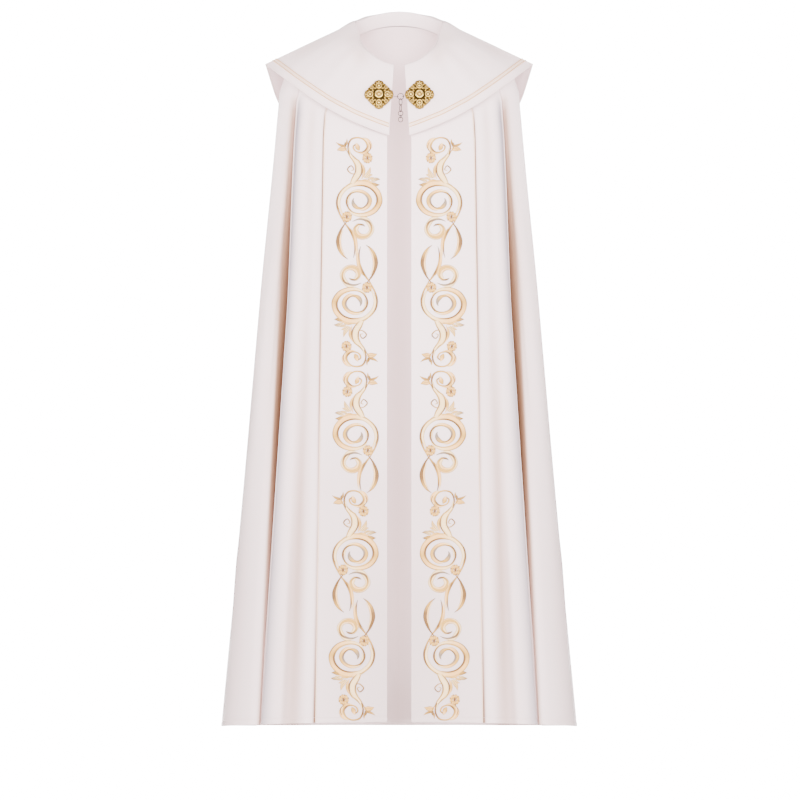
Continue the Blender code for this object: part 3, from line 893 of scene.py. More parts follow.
gold_cord = thread_cloth("gold cord", (0.90, 0.68, 0.52), (0.72, 0.46, 0.32), 0.1)
gold_braid = thread_cloth("gold braid", (0.74, 0.40, 0.14), (0.48, 0.23, 0.07), 0.1)

# %% [markdown]
# ## Piping on the orphrey seams
# A thin gold cord is laid on each long seam, where the embroidered band joins the mantle.

# %% Piping
PIPING, PIPING_ASIDE = 0.0009, 0.0009


def seam_point(share, aside=0.0):
    ring, drop = ring_at(share)
    return plan_point(ring, turn_at(ring, ring.seam_x) + aside)


def seam_path(t):
    share = t * 0.9995
    across = seam_point(share, 0.02) - seam_point(share, -0.02)
    down = seam_point(min(share + 0.004, 1.0)) - seam_point(max(share - 0.004, 0.0))
    out = down.cross(across).normalized()
    return seam_point(share) + out * (PIPING + 2 * SEAM_GAP) - Vector((PIPING_ASIDE, 0, 0))


def seam_path_right(t):
    point = seam_path(t)
    return Vector((-point.x, point.y, point.z))


for hand, path in (("left", seam_path), ("right", seam_path_right)):
    piping = cord("seam_piping_" + hand, path, 900, PIPING, Vector((0, -1, 0)), 8, 420)
    dress(piping, "piping_" + hand, gold_cord)
    print(piping.name, len(piping.data.polygons), "faces")

# %% [markdown]
# ## Hem stitching
# A turned-up hem is held by a row of running stitch. The thread is one cord again, pinched
# to nothing where it dips through the cloth, so every bulge between two dips is a stitch.

# %% Hem stitching
STITCH, HEM_THREAD = 0.0034, 0.00032


def stitch_row(name, path, length, thread):
    count = int(length / STITCH)
    row = cord(name, path, count * 5, HEM_THREAD, Vector((0, 0, 1)), 6, pinch=count)
    row.data.materials.append(thread)
    print(name, count, "stitches")
    return row


def over(place, lift):
    """A row just above the hem on the outer face of a sheet."""
    v = 1 - HEM_UP / CUT_LENGTH
    return lambda t: place(lerp(0.001, 0.999, t), v) + out_of(place, t, v, 0.002) * lift


hem_thread = thread_cloth("hem thread", (0.74, 0.56, 0.55), (0.60, 0.43, 0.42), 0.0)
rows = []
for name, place in (("mantle_left", mantle_point), ("mantle_right", mirrored(mantle_point)),
                    ("orphrey_left", orphrey_point), ("orphrey_right", mirrored(orphrey_point))):
    rows.append(stitch_row("hem_" + name, over(place, 0.0002), girth(place, 1.0), hem_thread))
stitches = join("hem_stitches", rows)
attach(stitches, "cope")
print("hem stitches", len(stitches.data.polygons), "faces")

# %% [markdown]
# ## Braid on the collar
# A narrow woven tape runs a finger's width inside the edge, with a gold cord along each of
# its sides, so that it reads as two fine lines. Tape and cords are joined into one piece.

# %% Braid
BRAID_FROM_EDGE, BRAID_WIDTH = 0.0168, 0.0095
LINE_INSET, BRAID_CORD = 0.0010, 0.0009


def on_collar(u, gap, lift):
    """A point above the collar, a gap inside its edge."""
    share = edge_gap(u, gap)
    return collar_point(u, share) + out_of(collar_point, u, share) * lift


def braid_tape(u, v):
    u = lerp(0.0008, 0.9992, u)
    gap = lerp(BRAID_FROM_EDGE + BRAID_WIDTH, BRAID_FROM_EDGE, v)
    return on_collar(u, gap, 0.0006 + 0.00015 * math.sin(math.pi * v))


def braid_line(gap):
    return lambda t: on_collar(lerp(0.0008, 0.9992, t), gap, 0.0012)


tape = sheet("tape", COLLAR_AROUND, 4, braid_tape, (collar_edge, BRAID_WIDTH), 0.0004)
tape.data.materials.append(thread_cloth("braid ground", (0.84, 0.62, 0.52),
                                        (0.74, 0.52, 0.42), 0.0))
lines = [tape]
for name, gap in (("outer", LINE_INSET), ("inner", BRAID_WIDTH - LINE_INSET)):
    line = cord(name + "_line", braid_line(BRAID_FROM_EDGE + gap), 860, BRAID_CORD,
                Vector((0, -0.6, 0.8)), 7, 500)
    line.data.materials.append(gold_braid)
    lines.append(line)
braid = join("collar_braid_tape", lines)
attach(braid, "cope")
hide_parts("collar_braid")
print("braid", len(braid.data.polygons), "faces")

# %% [markdown]
# ## Thread colours
# The embroidery is satin stitch in a few shades: cream and peach fillings, gold and bronze
# outlines, and silver at the ends of the scrolls. Each stroke is given its shade as a
# colour attribute, and the material adds the ridges of single stitches across it.

# %% Thread shades
THREADS = {
    "cream": (0.97, 0.67, 0.34),
    "peach": (0.95, 0.51, 0.17),
    "gold": (0.62, 0.33, 0.06),
    "bronze": (0.17, 0.075, 0.014),
    "silver": (0.24, 0.175, 0.12),
}
print("threads", ", ".join(THREADS))


def embroidery_thread():
    silk = Shader("embroidery silk", Roughness=0.38, Sheen_Weight=0.05,
                  Specular_IOR_Level=0.25)
    tint = silk.node("ShaderNodeAttribute", {"attribute_name": "tint"}, output="Color")
    u, v, _ = silk.split(silk.uv())
    stitch = ((v + u * 0.35) * 11000).sine() * 0.5 + 0.5
    cloud = silk.noise(silk.place(), 420.0, 2.0)
    tone = (cloud * 0.9 + stitch * 0.25 - 0.15).clamp()
    shade = silk.node("ShaderNodeMix", {"data_type": "RGBA", "blend_type": "MULTIPLY"},
                      {"Factor": 1.0, 6: tint,
                       7: silk.mix(tone, rgb(0.80, 0.76, 0.72), rgb(1, 1, 1))}, output=2)
    return silk.feed(Base_Color=shade, Normal=silk.bump(stitch, 0.4, 0.0002),
                     Roughness=stitch * 0.15 + 0.30)


silk = embroidery_thread()

# %% [markdown]
# ## One motif of the embroidery
# The figure is a scroll plant about 100 mm wide and 255 mm tall: a small scroll with a bead,
# a stem, one large scroll, a smaller one, and two crossing tendrils. It is drawn flat in
# millimetres, a across towards the front edge and b down. Scrolls are tables of radii,
# round which the line winds clockwise from the left; tendrils go through a few knots.

# %% Strokes
Knot = namedtuple("Knot", "a b width")
Coil = namedtuple("Coil", "turn radius width")
LINE_FULLER, FILL_FULLER = 1.16, 1.35     # stitched bands come out wider than they are drawn


def coiled(a, b, coils):
    """Knots of a scroll about a centre; a whole turn is 1, starting at the left."""
    return [Knot(a - c.radius * math.cos(2 * math.pi * c.turn),
                 b - c.radius * math.sin(2 * math.pi * c.turn), c.width) for c in coils]


def blend(first, second, t):
    return tuple(lerp(a, b, t) for a, b in zip(first, second))


def stroke(knots, shades, lift=0.0, high=0.8, columns=6):
    """A satin-stitch band through knots; shades run along it, lift and high are in mm."""
    rail = [Vector(k) for k in knots]
    last = len(rail) - 1
    length = sum((b - a).to_2d().length for a, b in zip(rail, rail[1:]))
    steps = max(6, int(length / 2.2))
    fuller = FILL_FULLER if lift < 0 else LINE_FULLER
    colours = [THREADS[s] for s in shades.split()]

    def place(u, v):
        x = v * last
        here = through(rail, x)
        along = (through(rail, min(x + 0.05, last)) - through(rail, max(x - 0.05, 0.0)))
        side = Vector((-along.y, along.x)).normalized()
        width = max(here.z * fuller, 0.3)
        off = (u - 0.5) * width
        crown = math.sqrt(max(0.0, 1 - (2 * u - 1) ** 2)) * min(1.0, width / 2.5)
        return Vector((here.x + side.x * off, -here.y - side.y * off,
                       lift + 0.15 + high * crown)) * 0.001

    def tint(u, v):
        x = v * (len(colours) - 1)
        i = min(int(x), len(colours) - 2) if len(colours) > 1 else 0
        main = blend(colours[i], colours[min(i + 1, len(colours) - 1)], x - i)
        # Both edges of each band are darkened towards bronze: partly the darker outline of the
        # stitches, partly painted shade where the padded band rounds away.
        rim = abs(2 * u - 1) ** 3 * 0.6
        return blend(main, THREADS["bronze"], rim)

    return sheet("stroke", columns, steps, place, (0.004, length * 0.001), 0, tint)


# %% [markdown]
# ### Scrolls and stem
# A wide pale filling lies under a narrow darker line, which changes from the outer to the
# inner side as the scroll turns, so the band seems to roll over.

# %% Scrolls
strokes = []
SMALL_SCROLL = coiled(1, 21, [
    Coil(-0.12, 25, 2.0), Coil(0.0, 21.5, 3.0), Coil(0.125, 21, 3.2), Coil(0.25, 18.5, 2.8),
    Coil(0.375, 18.5, 3.0), Coil(0.5, 19.5, 4.2), Coil(0.625, 15.5, 3.2),
    Coil(0.75, 11.8, 2.4), Coil(0.875, 11, 2.6), Coil(1.0, 10.5, 3.0), Coil(1.15, 7, 1.6)])
SMALL_FILL = coiled(1, 21, [
    Coil(0.33, 20, 0.8), Coil(0.42, 21.5, 4.0), Coil(0.50, 22.5, 6.0), Coil(0.58, 20.5, 5.5),
    Coil(0.66, 17, 3.5), Coil(0.75, 13.5, 0.8)])
strokes.append(stroke(SMALL_FILL, "cream cream peach gold peach cream", -0.1, 0.6))
strokes.append(stroke(coiled(1, 21, [Coil(0.40, 23.5, 0.8), Coil(0.47, 25, 2.4),
                                     Coil(0.53, 25.5, 2.4), Coil(0.60, 23, 0.8)]), "bronze"))
strokes.append(stroke(SMALL_SCROLL, "bronze bronze gold gold bronze gold gold bronze"))
strokes.append(stroke([Knot(11, 2, 0.8), Knot(21, 8, 4.5), Knot(25.5, 20, 6.5),
                       Knot(22, 32, 0.8)], "cream peach peach cream", -0.05, 0.7))
strokes.append(stroke([Knot(-4, 13, 0.8), Knot(-2, 18, 6.5), Knot(0, 23.5, 8.5),
                       Knot(3, 29, 2.0)], "cream peach gold gold", high=1.2))

BIG_OUTER = coiled(2, 134, [
    Coil(-0.17, 58, 1.2), Coil(-0.15, 54, 2.4), Coil(-0.09, 48.5, 3.2), Coil(-0.03, 46.5, 4.0),
    Coil(0.03, 44.5, 3.6), Coil(0.09, 41.5, 2.8), Coil(0.16, 39, 2.2), Coil(0.21, 38, 0.8)])
BIG_LINE = coiled(2, 134, [
    Coil(0.19, 31.5, 1.0), Coil(0.25, 31.3, 2.6), Coil(0.31, 32.6, 3.0), Coil(0.37, 35, 3.2),
    Coil(0.43, 37.4, 3.4), Coil(0.48, 38.6, 3.6), Coil(0.53, 37.5, 3.2), Coil(0.59, 34, 2.6),
    Coil(0.66, 29.6, 2.0), Coil(0.75, 27.4, 1.8), Coil(0.84, 27.2, 2.2), Coil(0.93, 26.4, 3.2),
    Coil(1.01, 25.2, 3.8), Coil(1.10, 22.6, 3.4), Coil(1.19, 19.2, 2.6), Coil(1.28, 17.5, 2.6),
    Coil(1.38, 18.2, 3.2), Coil(1.48, 19.8, 3.8), Coil(1.57, 18.9, 3.0), Coil(1.67, 17.6, 2.6),
    Coil(1.76, 16.0, 5.0), Coil(1.84, 14.4, 7.5), Coil(1.92, 13.2, 6.5), Coil(2.0, 12.3, 3.6),
    Coil(2.07, 11.4, 0.8)])
BIG_FILL = coiled(2, 134, [
    Coil(-0.12, 45.5, 1.5), Coil(-0.03, 42.5, 4.4), Coil(0.05, 39.5, 5.5), Coil(0.13, 36.8, 6.5),
    Coil(0.20, 36.2, 8.0), Coil(0.28, 37.4, 9.0), Coil(0.36, 40, 9.0), Coil(0.43, 43, 8.0),
    Coil(0.48, 44.2, 7.5), Coil(0.53, 43.4, 7.5), Coil(0.59, 39.5, 7.5), Coil(0.66, 34.5, 6.5),
    Coil(0.75, 31, 5.0), Coil(0.84, 30, 3.0), Coil(0.90, 29, 0.8)])
INNER_FILL = coiled(2, 134, [
    Coil(0.93, 23, 1.0), Coil(1.02, 22, 3.0), Coil(1.12, 22.5, 3.5), Coil(1.22, 21, 4.0),
    Coil(1.32, 20.5, 4.5), Coil(1.42, 22, 5.5), Coil(1.50, 23.6, 6.5), Coil(1.58, 22.5, 6.5),
    Coil(1.67, 20.5, 5.0), Coil(1.76, 18.5, 1.0)])
BIG_RIM = coiled(2, 134, [
    Coil(0.24, 42, 0.8), Coil(0.33, 44, 1.4), Coil(0.42, 47, 1.6), Coil(0.48, 48.3, 2.0),
    Coil(0.53, 47.5, 2.0), Coil(0.60, 43, 1.6), Coil(0.68, 37, 1.4), Coil(0.78, 33, 0.8)])
strokes.append(stroke(BIG_FILL, "cream cream cream peach peach gold peach cream cream", -0.1,
                      0.6))
strokes.append(stroke(INNER_FILL, "cream cream cream peach gold gold peach cream", -0.1, 0.6))
strokes.append(stroke(BIG_RIM, "gold gold bronze gold"))
strokes.append(stroke(BIG_OUTER, "bronze gold bronze bronze gold bronze"))
strokes.append(stroke(BIG_LINE, "gold bronze bronze bronze gold gold bronze bronze gold silver "
                      "bronze gold silver silver", 0.1, 0.9))

SIDE_SCROLL = coiled(10, 193, [
    Coil(0.10, 26, 0.8), Coil(0.17, 22, 2.8), Coil(0.25, 19.5, 4.0), Coil(0.375, 19.3, 4.6),
    Coil(0.5, 18.9, 4.0), Coil(0.625, 18.5, 4.2), Coil(0.75, 17.7, 5.6),
    Coil(0.875, 17.8, 5.6), Coil(1.0, 16.3, 4.2), Coil(1.12, 12.3, 3.0), Coil(1.25, 8, 3.4),
    Coil(1.38, 6.8, 0.8)])
strokes.append(stroke(SIDE_SCROLL, "silver silver bronze gold gold gold bronze silver"))
strokes.append(stroke(coiled(10, 193, [Coil(0.62, 15, 0.8), Coil(0.75, 13.8, 3.0),
                                       Coil(0.87, 14, 3.4), Coil(1.0, 12.5, 0.8)]),
                      "cream peach cream", -0.05, 0.7))
strokes.insert(-2, stroke(coiled(10, 193, [
    Coil(0.16, 24, 0.8), Coil(0.30, 21, 7.0), Coil(0.50, 19, 8.0), Coil(0.65, 18, 8.0),
    Coil(0.80, 17, 9.5), Coil(0.95, 16, 9.0), Coil(1.10, 12, 6.0), Coil(1.22, 9, 0.8)]),
    "cream cream cream peach cream cream", -0.15, 0.5))
print("scroll strokes", len(strokes))

# %% [markdown]
# ### Stem and tendrils
# A pale stem with a dark line on each side joins the scrolls, and two tendrils cross below
# the large one, each a dark line on a paler one.

# %% Stem and tendrils
STEM = [Knot(-19, 24, 2), Knot(-16, 38, 5), Knot(-6, 50, 8), Knot(1, 63, 11.5),
        Knot(0.5, 77, 11.5), Knot(-8, 90, 9), Knot(-14, 100, 5)]
STEM_LEFT = [Knot(-22, 31, 1.6), Knot(-17, 41, 2), Knot(-9, 52, 2.2), Knot(-4.5, 62, 2.4),
             Knot(-5, 74, 2.2), Knot(-11, 86, 2), Knot(-16.5, 100, 1.2)]
STEM_RIGHT = [Knot(-15, 35, 1.2), Knot(-7, 45, 2.2), Knot(2, 51, 2.4), Knot(7, 60, 2.6),
              Knot(8.5, 70, 3.2), Knot(6.5, 80, 2.6), Knot(0, 90, 2.2), Knot(-8, 99, 1.4)]
strokes.append(stroke(STEM, "cream cream cream", -0.1, 0.6))
strokes.append(stroke(STEM_LEFT, "bronze gold bronze gold"))
strokes.append(stroke(STEM_RIGHT, "bronze gold bronze bronze gold"))
strokes.append(stroke([Knot(6, 54, 0.6), Knot(11.5, 65, 4.6), Knot(12.5, 76, 4.8),
                       Knot(8, 89, 0.8)], "peach gold peach"))
strokes.append(stroke([Knot(-1, 96, 1), Knot(8, 93, 3.2), Knot(18, 92, 4), Knot(30, 97, 2)],
                      "peach gold peach"))
CURL = coiled(-14, 69, [Coil(-0.36, 12, 1.4), Coil(-0.25, 8.5, 2), Coil(0, 7.8, 2.4),
                        Coil(0.25, 7.8, 2), Coil(0.5, 5.5, 1.8), Coil(0.75, 2.2, 1)])
strokes.append(stroke(CURL, "gold bronze gold"))
LEFT_TENDRIL = [Knot(-20, 176, 1), Knot(-27, 183, 2), Knot(-35.5, 196, 4.0),
                Knot(-41, 212, 6.6), Knot(-41.5, 224, 7.4), Knot(-38, 238, 5.8),
                Knot(-31, 249, 3.4), Knot(-21, 257, 0.8)]
LEFT_PALE = [Knot(-31, 194, 0.6), Knot(-36.5, 211, 3.2), Knot(-37, 225, 3.6),
             Knot(-33, 239, 2.6), Knot(-26, 250, 0.6)]
RIGHT_TENDRIL = [Knot(-27, 182, 2), Knot(-18, 194, 4), Knot(-12, 206, 3.6),
                 Knot(-7.5, 220, 2.8), Knot(-6.3, 234, 2.4), Knot(-7.2, 245, 2),
                 Knot(-9.5, 254, 0.8)]
RIGHT_PALE = [Knot(-15, 193, 0.8), Knot(-6.5, 209, 4.0), Knot(-3, 225, 4.0),
              Knot(-3, 240, 2.8), Knot(-5, 250, 0.6)]
strokes.append(stroke(LEFT_PALE, "cream peach cream", -0.1, 0.6))
strokes.append(stroke(LEFT_TENDRIL, "bronze bronze bronze bronze gold bronze", 0.0, 1.0))
strokes.append(stroke(RIGHT_PALE, "gold peach cream", -0.1, 0.6))
strokes.append(stroke(RIGHT_TENDRIL, "gold bronze gold bronze silver"))
print("strokes", len(strokes))

# %% [markdown]
# ### Leaves and flowers
# A leaf is one stroke that swells and ends in a point, with a dark vein. A flower is a ring
# of small round petals about an eye, each a padded dot of thread.

# %% Leaves and flowers
def leaf(a, b, tip_a, tip_b, width, shade, bend=0.12):
    """A pointed leaf from its foot to its tip, bowed to one side, and its vein."""
    foot, tip = Vector((a, b)), Vector((tip_a, tip_b))
    side = Vector((foot.y - tip.y, tip.x - foot.x)) * bend
    spots = [foot.lerp(tip, t) + side * 4 * t * (1 - t) for t in (0, 0.3, 0.65, 1)]
    widths = (width * 0.4, width, width * 0.8, 0.3)
    strokes.append(stroke([Knot(*p, w) for p, w in zip(spots, widths)], shade, -0.05, 0.7))
    strokes.append(stroke([Knot(*p, w) for p, w in zip(spots, (1, 1.3, 1, 0.3))],
                          "bronze gold", 0.45, 0.5, 4))


def dot(a, b, size, shade, high=1.0):
    strokes.append(stroke([Knot(a - size / 2, b, 0.3), Knot(a - size * 0.3, b, size * 0.8),
                           Knot(a, b, size), Knot(a + size * 0.3, b, size * 0.8),
                           Knot(a + size / 2, b, 0.3)], shade, 0.0, high))


def flower(a, b, reach, petals, petal, shade):
    for k in range(petals):
        angle = 2 * math.pi * (k + 0.2) / petals
        dot(a + reach * math.cos(angle), b + reach * math.sin(angle), petal, shade)
    dot(a, b, petal * 0.7, "bronze", 1.2)


for spot_a, spot_b in ((20, 45), (-23, 168)):
    flower(spot_a, spot_b, 7.2, 6, 7.8, "peach gold peach")
    for spot in range(6):
        angle = 2 * math.pi * (spot + 0.7) / 6
        for far, size in ((4.6, 2.6), (9.8, 3.4)):
            dot(spot_a + far * math.cos(angle), spot_b + far * math.sin(angle), size,
                "bronze gold")
leaf(-24, 20, -46, 12, 4.0, "bronze gold", -0.10)
leaf(-23, 27, -44, 29, 8.0, "peach gold", 0.10)
leaf(-26, 19, -23, 5, 3.4, "bronze gold", 0.10)
strokes.append(stroke([Knot(-26, 12, 1), Knot(-28, 18, 2.4), Knot(-25.5, 27, 2.4),
                       Knot(-18, 34, 1)], "bronze gold"))
leaf(13, 86, 26, 64, 6.5, "cream gold", 0.12)
leaf(16, 87, 31, 80, 5.5, "cream gold", -0.10)
leaf(28, 94, 47, 90, 6.0, "cream bronze", -0.12)
leaf(29, 97, 46, 101, 5.5, "gold bronze", 0.12)
leaf(20, 92, 34, 86, 4.0, "cream gold", -0.08)
motif = join("motif", strokes)
print("one motif", len(motif.data.polygons), "faces",
      [round(v * 1000) for v in motif.dimensions])

# %% [markdown]
# ### The motif repeated down the band
# The same figure comes five times: upright, turned half round, mirrored, upright, and turned
# again. Each copy is laid on the band by dropping its points onto the cloth from the front,
# and the wearer's other side has the mirror image.

# %% Embroidered bands
Repeat = namedtuple("Repeat", "start centre turned mirrored")
REPEATS = [
    Repeat(-0.2243, 0.0865, False, False),
    Repeat(-0.7085, 0.0903, True, False),
    Repeat(-0.7135, 0.0885, False, True),
    Repeat(-0.9635, 0.0945, False, False),
    Repeat(-1.4480, 0.0962, True, False),
]


def embroider(hand, side):
    band = bpy.data.objects["orphrey_band_" + hand]
    tree = BVHTree.FromObject(band, bpy.context.evaluated_depsgraph_get())
    copies = []
    for repeat in REPEATS:
        only(motif)
        bpy.ops.object.duplicate(linked=False)
        item = bpy.context.object
        way = -1 if repeat.turned else 1
        flip = way * (-1 if repeat.mirrored else 1)
        for vertex in item.data.vertices:
            x = (repeat.centre - vertex.co.x * flip) * side
            z = repeat.start + vertex.co.y * way
            spot, out, _, _ = tree.ray_cast(Vector((x, -1, z)), Vector((0, 1, 0)))
            vertex.co = spot + out * vertex.co.z
        copies.append(item)
    item = join("embroidery_" + hand, copies)
    modify(item, "SOLIDIFY", thickness=0.00012, offset=-1.0)
    only(item)
    bpy.ops.object.mode_set(mode="EDIT")
    bpy.ops.mesh.select_all(action="SELECT")
    bpy.ops.mesh.normals_make_consistent(inside=False)
    bpy.ops.object.mode_set(mode="OBJECT")
    item.data.materials.clear()
    item.data.materials.append(silk)
    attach(item, "cope")
    print(item.name, sum(len(p.vertices) - 2 for p in item.data.polygons), "triangles")
    return item


embroider("left", 1)
embroider("right", -1)
bpy.data.objects.remove(motif)

# %% [markdown]
# ## The clasp
# Two cast plates, a hook on one and an eye on the other, and a ring between them with a
# short tail of loose links. A cast relief has no undercuts, so a plate is one disc whose
# face is raised by a height rule: a round boss, four rosettes, scrolls, beads and a beaded
# rim. The relief's height is kept as an attribute, because dark patina stays in the hollows.

# %% Plate relief
PLATE_RADIUS, PLATE_RIM, PLATE_RISE = 0.0312, 2.2, 2.6
RELIEF_RADIUS = 30.3        # the relief is drawn, in mm, for a plate of this radius
CLASP_LEAN = 1.2212
CLASP_SEAT = Vector((0.0425, -0.140325, -0.136868))


def bump_at(distance, radius):
    """A round bead of this radius, 0 outside it."""
    return math.sqrt(max(0.0, 1 - (distance / radius) ** 2))


def plate_edge(angle):
    tip = abs((angle + math.pi / 4) % (math.pi / 2) - math.pi / 4)
    notch = 0.055 * math.exp(-((tip - 0.42) / 0.10) ** 2)
    return 1 - 0.17 * math.sin(2 * angle) ** 2 - notch + 0.010 * math.cos(24 * angle) - 0.012


def relief(angle, share):
    """Height in mm above the plate's dome, at a share of the way to the rim."""
    reach = share * plate_edge(angle) * RELIEF_RADIUS
    turn = (angle + math.pi / 4) % (math.pi / 2) - math.pi / 4
    along, across = reach * math.cos(turn), abs(reach * math.sin(turn))
    far = abs(along - across) / math.sqrt(2)
    diagonal = (along + across) / math.sqrt(2)
    marks = [
        1.6 * ease((8.9 - reach) / 1.2) if reach < 8.9 else 0.0,
        1.6 + 1.6 * bump_at(reach - 6.6, 1.7) if abs(reach - 6.6) < 1.7 else 0.0,
        1.6 + 2.2 * bump_at(reach, 3.2) if reach < 3.2 else 0.0,
    ]
    if reach > 8.9:
        rosette = math.hypot(along - 17.6, across)
        marks += [
            1.9 * bump_at(rosette - 5.2, 1.5),
            2.6 * bump_at(rosette, 2.9),
            1.5 * bump_at(math.hypot(along - 26.2, across), 2.3),
            1.4 * bump_at(math.hypot(along - 24.3, across - 4.6), 1.9),
            1.5 * bump_at(math.hypot(along - 12.2, across - 7.0), 1.9),
            1.7 * bump_at(math.hypot(diagonal - 20.4, far) - 3.0, 1.1),
            1.5 * bump_at(math.hypot(diagonal - 20.4, far), 1.5),
            1.3 * bump_at(math.hypot(diagonal - 15.6, far - 2.4), 1.6),
            1.2 * bump_at(math.hypot(along - 20.6, across - 8.4), 1.9),
        ]
        rim = (1 - share) * plate_edge(angle) * RELIEF_RADIUS
        marks.append((0.9 + 0.5 * math.cos(56 * angle)) * bump_at(rim - 1.3, 1.2))
    pit = -1.6 * bump_at(math.hypot(diagonal - 11.6, far), 3.4)
    pit -= 1.2 * bump_at(reach - 10.2, 1.3)
    pit -= 1.0 * bump_at(math.hypot(along - 21.2, across - 5.6), 1.9)
    pit -= 1.0 * bump_at(math.hypot(along - 15.5, across - 8.6), 1.9)
    pit -= 0.9 * bump_at(math.hypot(diagonal - 24.0, far - 2.6), 1.8)
    return max(marks) if max(marks) > 0.05 else pit


def plate_place(u, v):
    """v: 0 to 0.86 the face from its middle, then the rim's side and the flat back."""
    angle = 2 * math.pi * u
    edge = plate_edge(angle) * PLATE_RADIUS
    if v <= 0.86:
        share = v / 0.86
        dome = PLATE_RIM + PLATE_RISE * (1 - share ** 2.2)
        fade = ease((1 - share) * 12)
        height = dome + relief(angle, share) * fade - 0.5 * (1 - fade)
    else:
        share = 1 - ease((v - 0.90) / 0.10) if v > 0.90 else 1.0
        height = PLATE_RIM - 0.5 if v < 0.88 else 0.0
    reach = edge * share
    return Vector((reach * math.cos(angle), reach * math.sin(angle) * 1.05, height * 0.001))


BOSS_DULLER = 0.62


def plate_tint(u, v):
    if v > 0.86:
        return (0.45, 0.45, 0.45)
    share = v / 0.86
    height = relief(2 * math.pi * u, share)
    rise = min(max((height + 0.25) / 2.8, 0.0), 1.0)
    rise *= lerp(BOSS_DULLER, 1.0, ease((share - 0.2) * 12))
    return (rise, rise, rise)


def cast_brass_finish():
    brass = Shader("cast brass", Metallic=1.0, Roughness=0.3)
    tint = brass.node("ShaderNodeAttribute", {"attribute_name": "tint"}, output="Fac")
    grime = brass.noise(brass.place(), 560.0, 3.0)
    height = (tint + grime * 0.70 - 0.37).clamp()
    stops = [(0.0, rgb(0.050, 0.030, 0.007)), (0.24, rgb(0.13, 0.076, 0.015)),
             (0.52, rgb(0.42, 0.26, 0.060)), (1.0, rgb(0.76, 0.54, 0.17))]
    return brass.feed(Base_Color=brass.ramp(height, stops), Roughness=0.66 - height * 0.34,
                      Normal=brass.bump(grime, 0.25, 0.0002))


cast_brass = cast_brass_finish()
for hand, side in (("left", 1), ("right", -1)):
    plate = sheet("clasp_relief_" + hand, 168, 84, plate_place, (0.1, 0.1), 0, plate_tint)
    weld(plate)
    smooth(plate, 50)
    plate.rotation_euler = (CLASP_LEAN, 0, 0)
    plate.location = (CLASP_SEAT.x * side, CLASP_SEAT.y, CLASP_SEAT.z)
    settle(plate)
    plate.data.materials.append(cast_brass)
    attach(plate, "cope")
    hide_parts("clasp_plate_" + hand, "clasp_boss_" + hand)
    print(plate.name, len(plate.data.polygons), "faces")

# %% [markdown]
# ### Hook, eye, ring and tail
# They are bent from round wire. Each link hangs through the one above and is turned nearly
# square to it, as a chain hangs, and each moves with its own body of the CAD model.

# %% Wire parts
WIRE, FINE_WIRE, LINK_ROOM = 0.00075, 0.00055, 0.0003
TAIL_X, TAIL_Y, RING_Z, RING_RADIUS = 0.0030, -0.141359, -0.1404, 0.0064
Link = namedtuple("Link", "name half_width half_height turn wire")
LINKS = [
    Link("tail_link_1", 0.0045, 0.0070, 45, WIRE),
    Link("tail_link_2", 0.0038, 0.0077, 120, WIRE),
    Link("tail_ring_3", 0.0050, 0.0050, 195, WIRE),
    Link("tail_link_4", 0.0031, 0.0031, 115, FINE_WIRE),
    Link("tail_ring_5", 0.0050, 0.0050, 25, WIRE),
]


def plated_wire_finish():
    plated = Shader("plated wire", Metallic=1.0, Roughness=0.25)
    wear = plated.noise(plated.place(), 1400.0, 3.0)
    bright = (wear * 2.4 - 0.85).clamp()
    return plated.feed(Base_Color=plated.mix(bright, rgb(0.014, 0.011, 0.007),
                                             rgb(0.11, 0.095, 0.07)),
                       Roughness=wear * 0.2 + 0.18)


plated_wire = plated_wire_finish()


def oval(half_width, half_height, turn, centre):
    across = Vector((math.cos(math.radians(turn)), math.sin(math.radians(turn)), 0))
    return (lambda t: centre + across * (half_width * math.cos(2 * math.pi * t))
            + Vector((0, 0, half_height * math.sin(2 * math.pi * t))),
            Vector((-across.y, across.x, 0)))


def wire_part(item, node, body):
    item.data.materials.append(plated_wire)
    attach(item, body)
    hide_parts(node)


centre = Vector((TAIL_X, TAIL_Y, RING_Z))
path, side = oval(RING_RADIUS, RING_RADIUS, 0, centre)
wire_part(cord("ring_wire", path, 48, WIRE, side, 12, closed=True), "clasp_ring", "cope")
hanger, wire_above = centre - Vector((0, 0, RING_RADIUS)), WIRE
for link in LINKS:
    top = wire_above + link.wire + LINK_ROOM
    middle = hanger + Vector((0, 0, top - link.half_height))
    path, side = oval(link.half_width, link.half_height, link.turn, middle)
    item = cord(link.name + "_wire", path, 40, link.wire, side, 12, closed=True)
    wire_part(item, link.name, link.name)
    hanger, wire_above = middle - Vector((0, 0, link.half_height)), link.wire
print("tail ends at", [round(v, 4) for v in hanger])

# %% [markdown]
# ### Hook and eye
# The hook leaves the wearer's right plate and bends round the ring; the eye is an oval loop
# at the edge of the left plate.

# %% Hook and eye
EYE_WIDE, EYE_DEEP = 0.0024, 0.0021
HOOK_FOOT, HOOK_TAIL = 0.0015, 0.0040
bend = WIRE + FINE_WIRE + LINK_ROOM
caught = TAIL_X - RING_RADIUS
tip = -CLASP_SEAT.x + RELIEF_RADIUS * 0.001 + SEAM_GAP
hook_knots = [Vector((tip, TAIL_Y + bend * 0.4, RING_Z)),
              Vector((tip + HOOK_FOOT, TAIL_Y + bend, RING_Z))]
hook_knots += [Vector((caught + bend * math.cos(a), TAIL_Y + bend * math.sin(a), RING_Z))
               for a in [math.pi / 2 - math.pi * k / 8 for k in range(9)]]
hook_knots.append(Vector((caught - HOOK_TAIL, TAIL_Y - bend * 1.15, RING_Z)))
hook = cord("hook_wire", lambda t: through(hook_knots, t * (len(hook_knots) - 1)), 60,
            FINE_WIRE, Vector((0, 0, 1)), 12)
wire_part(hook, "clasp_hook", "cope")
eye_middle = CLASP_SEAT.x - PLATE_RADIUS - SEAM_GAP - FINE_WIRE - EYE_WIDE
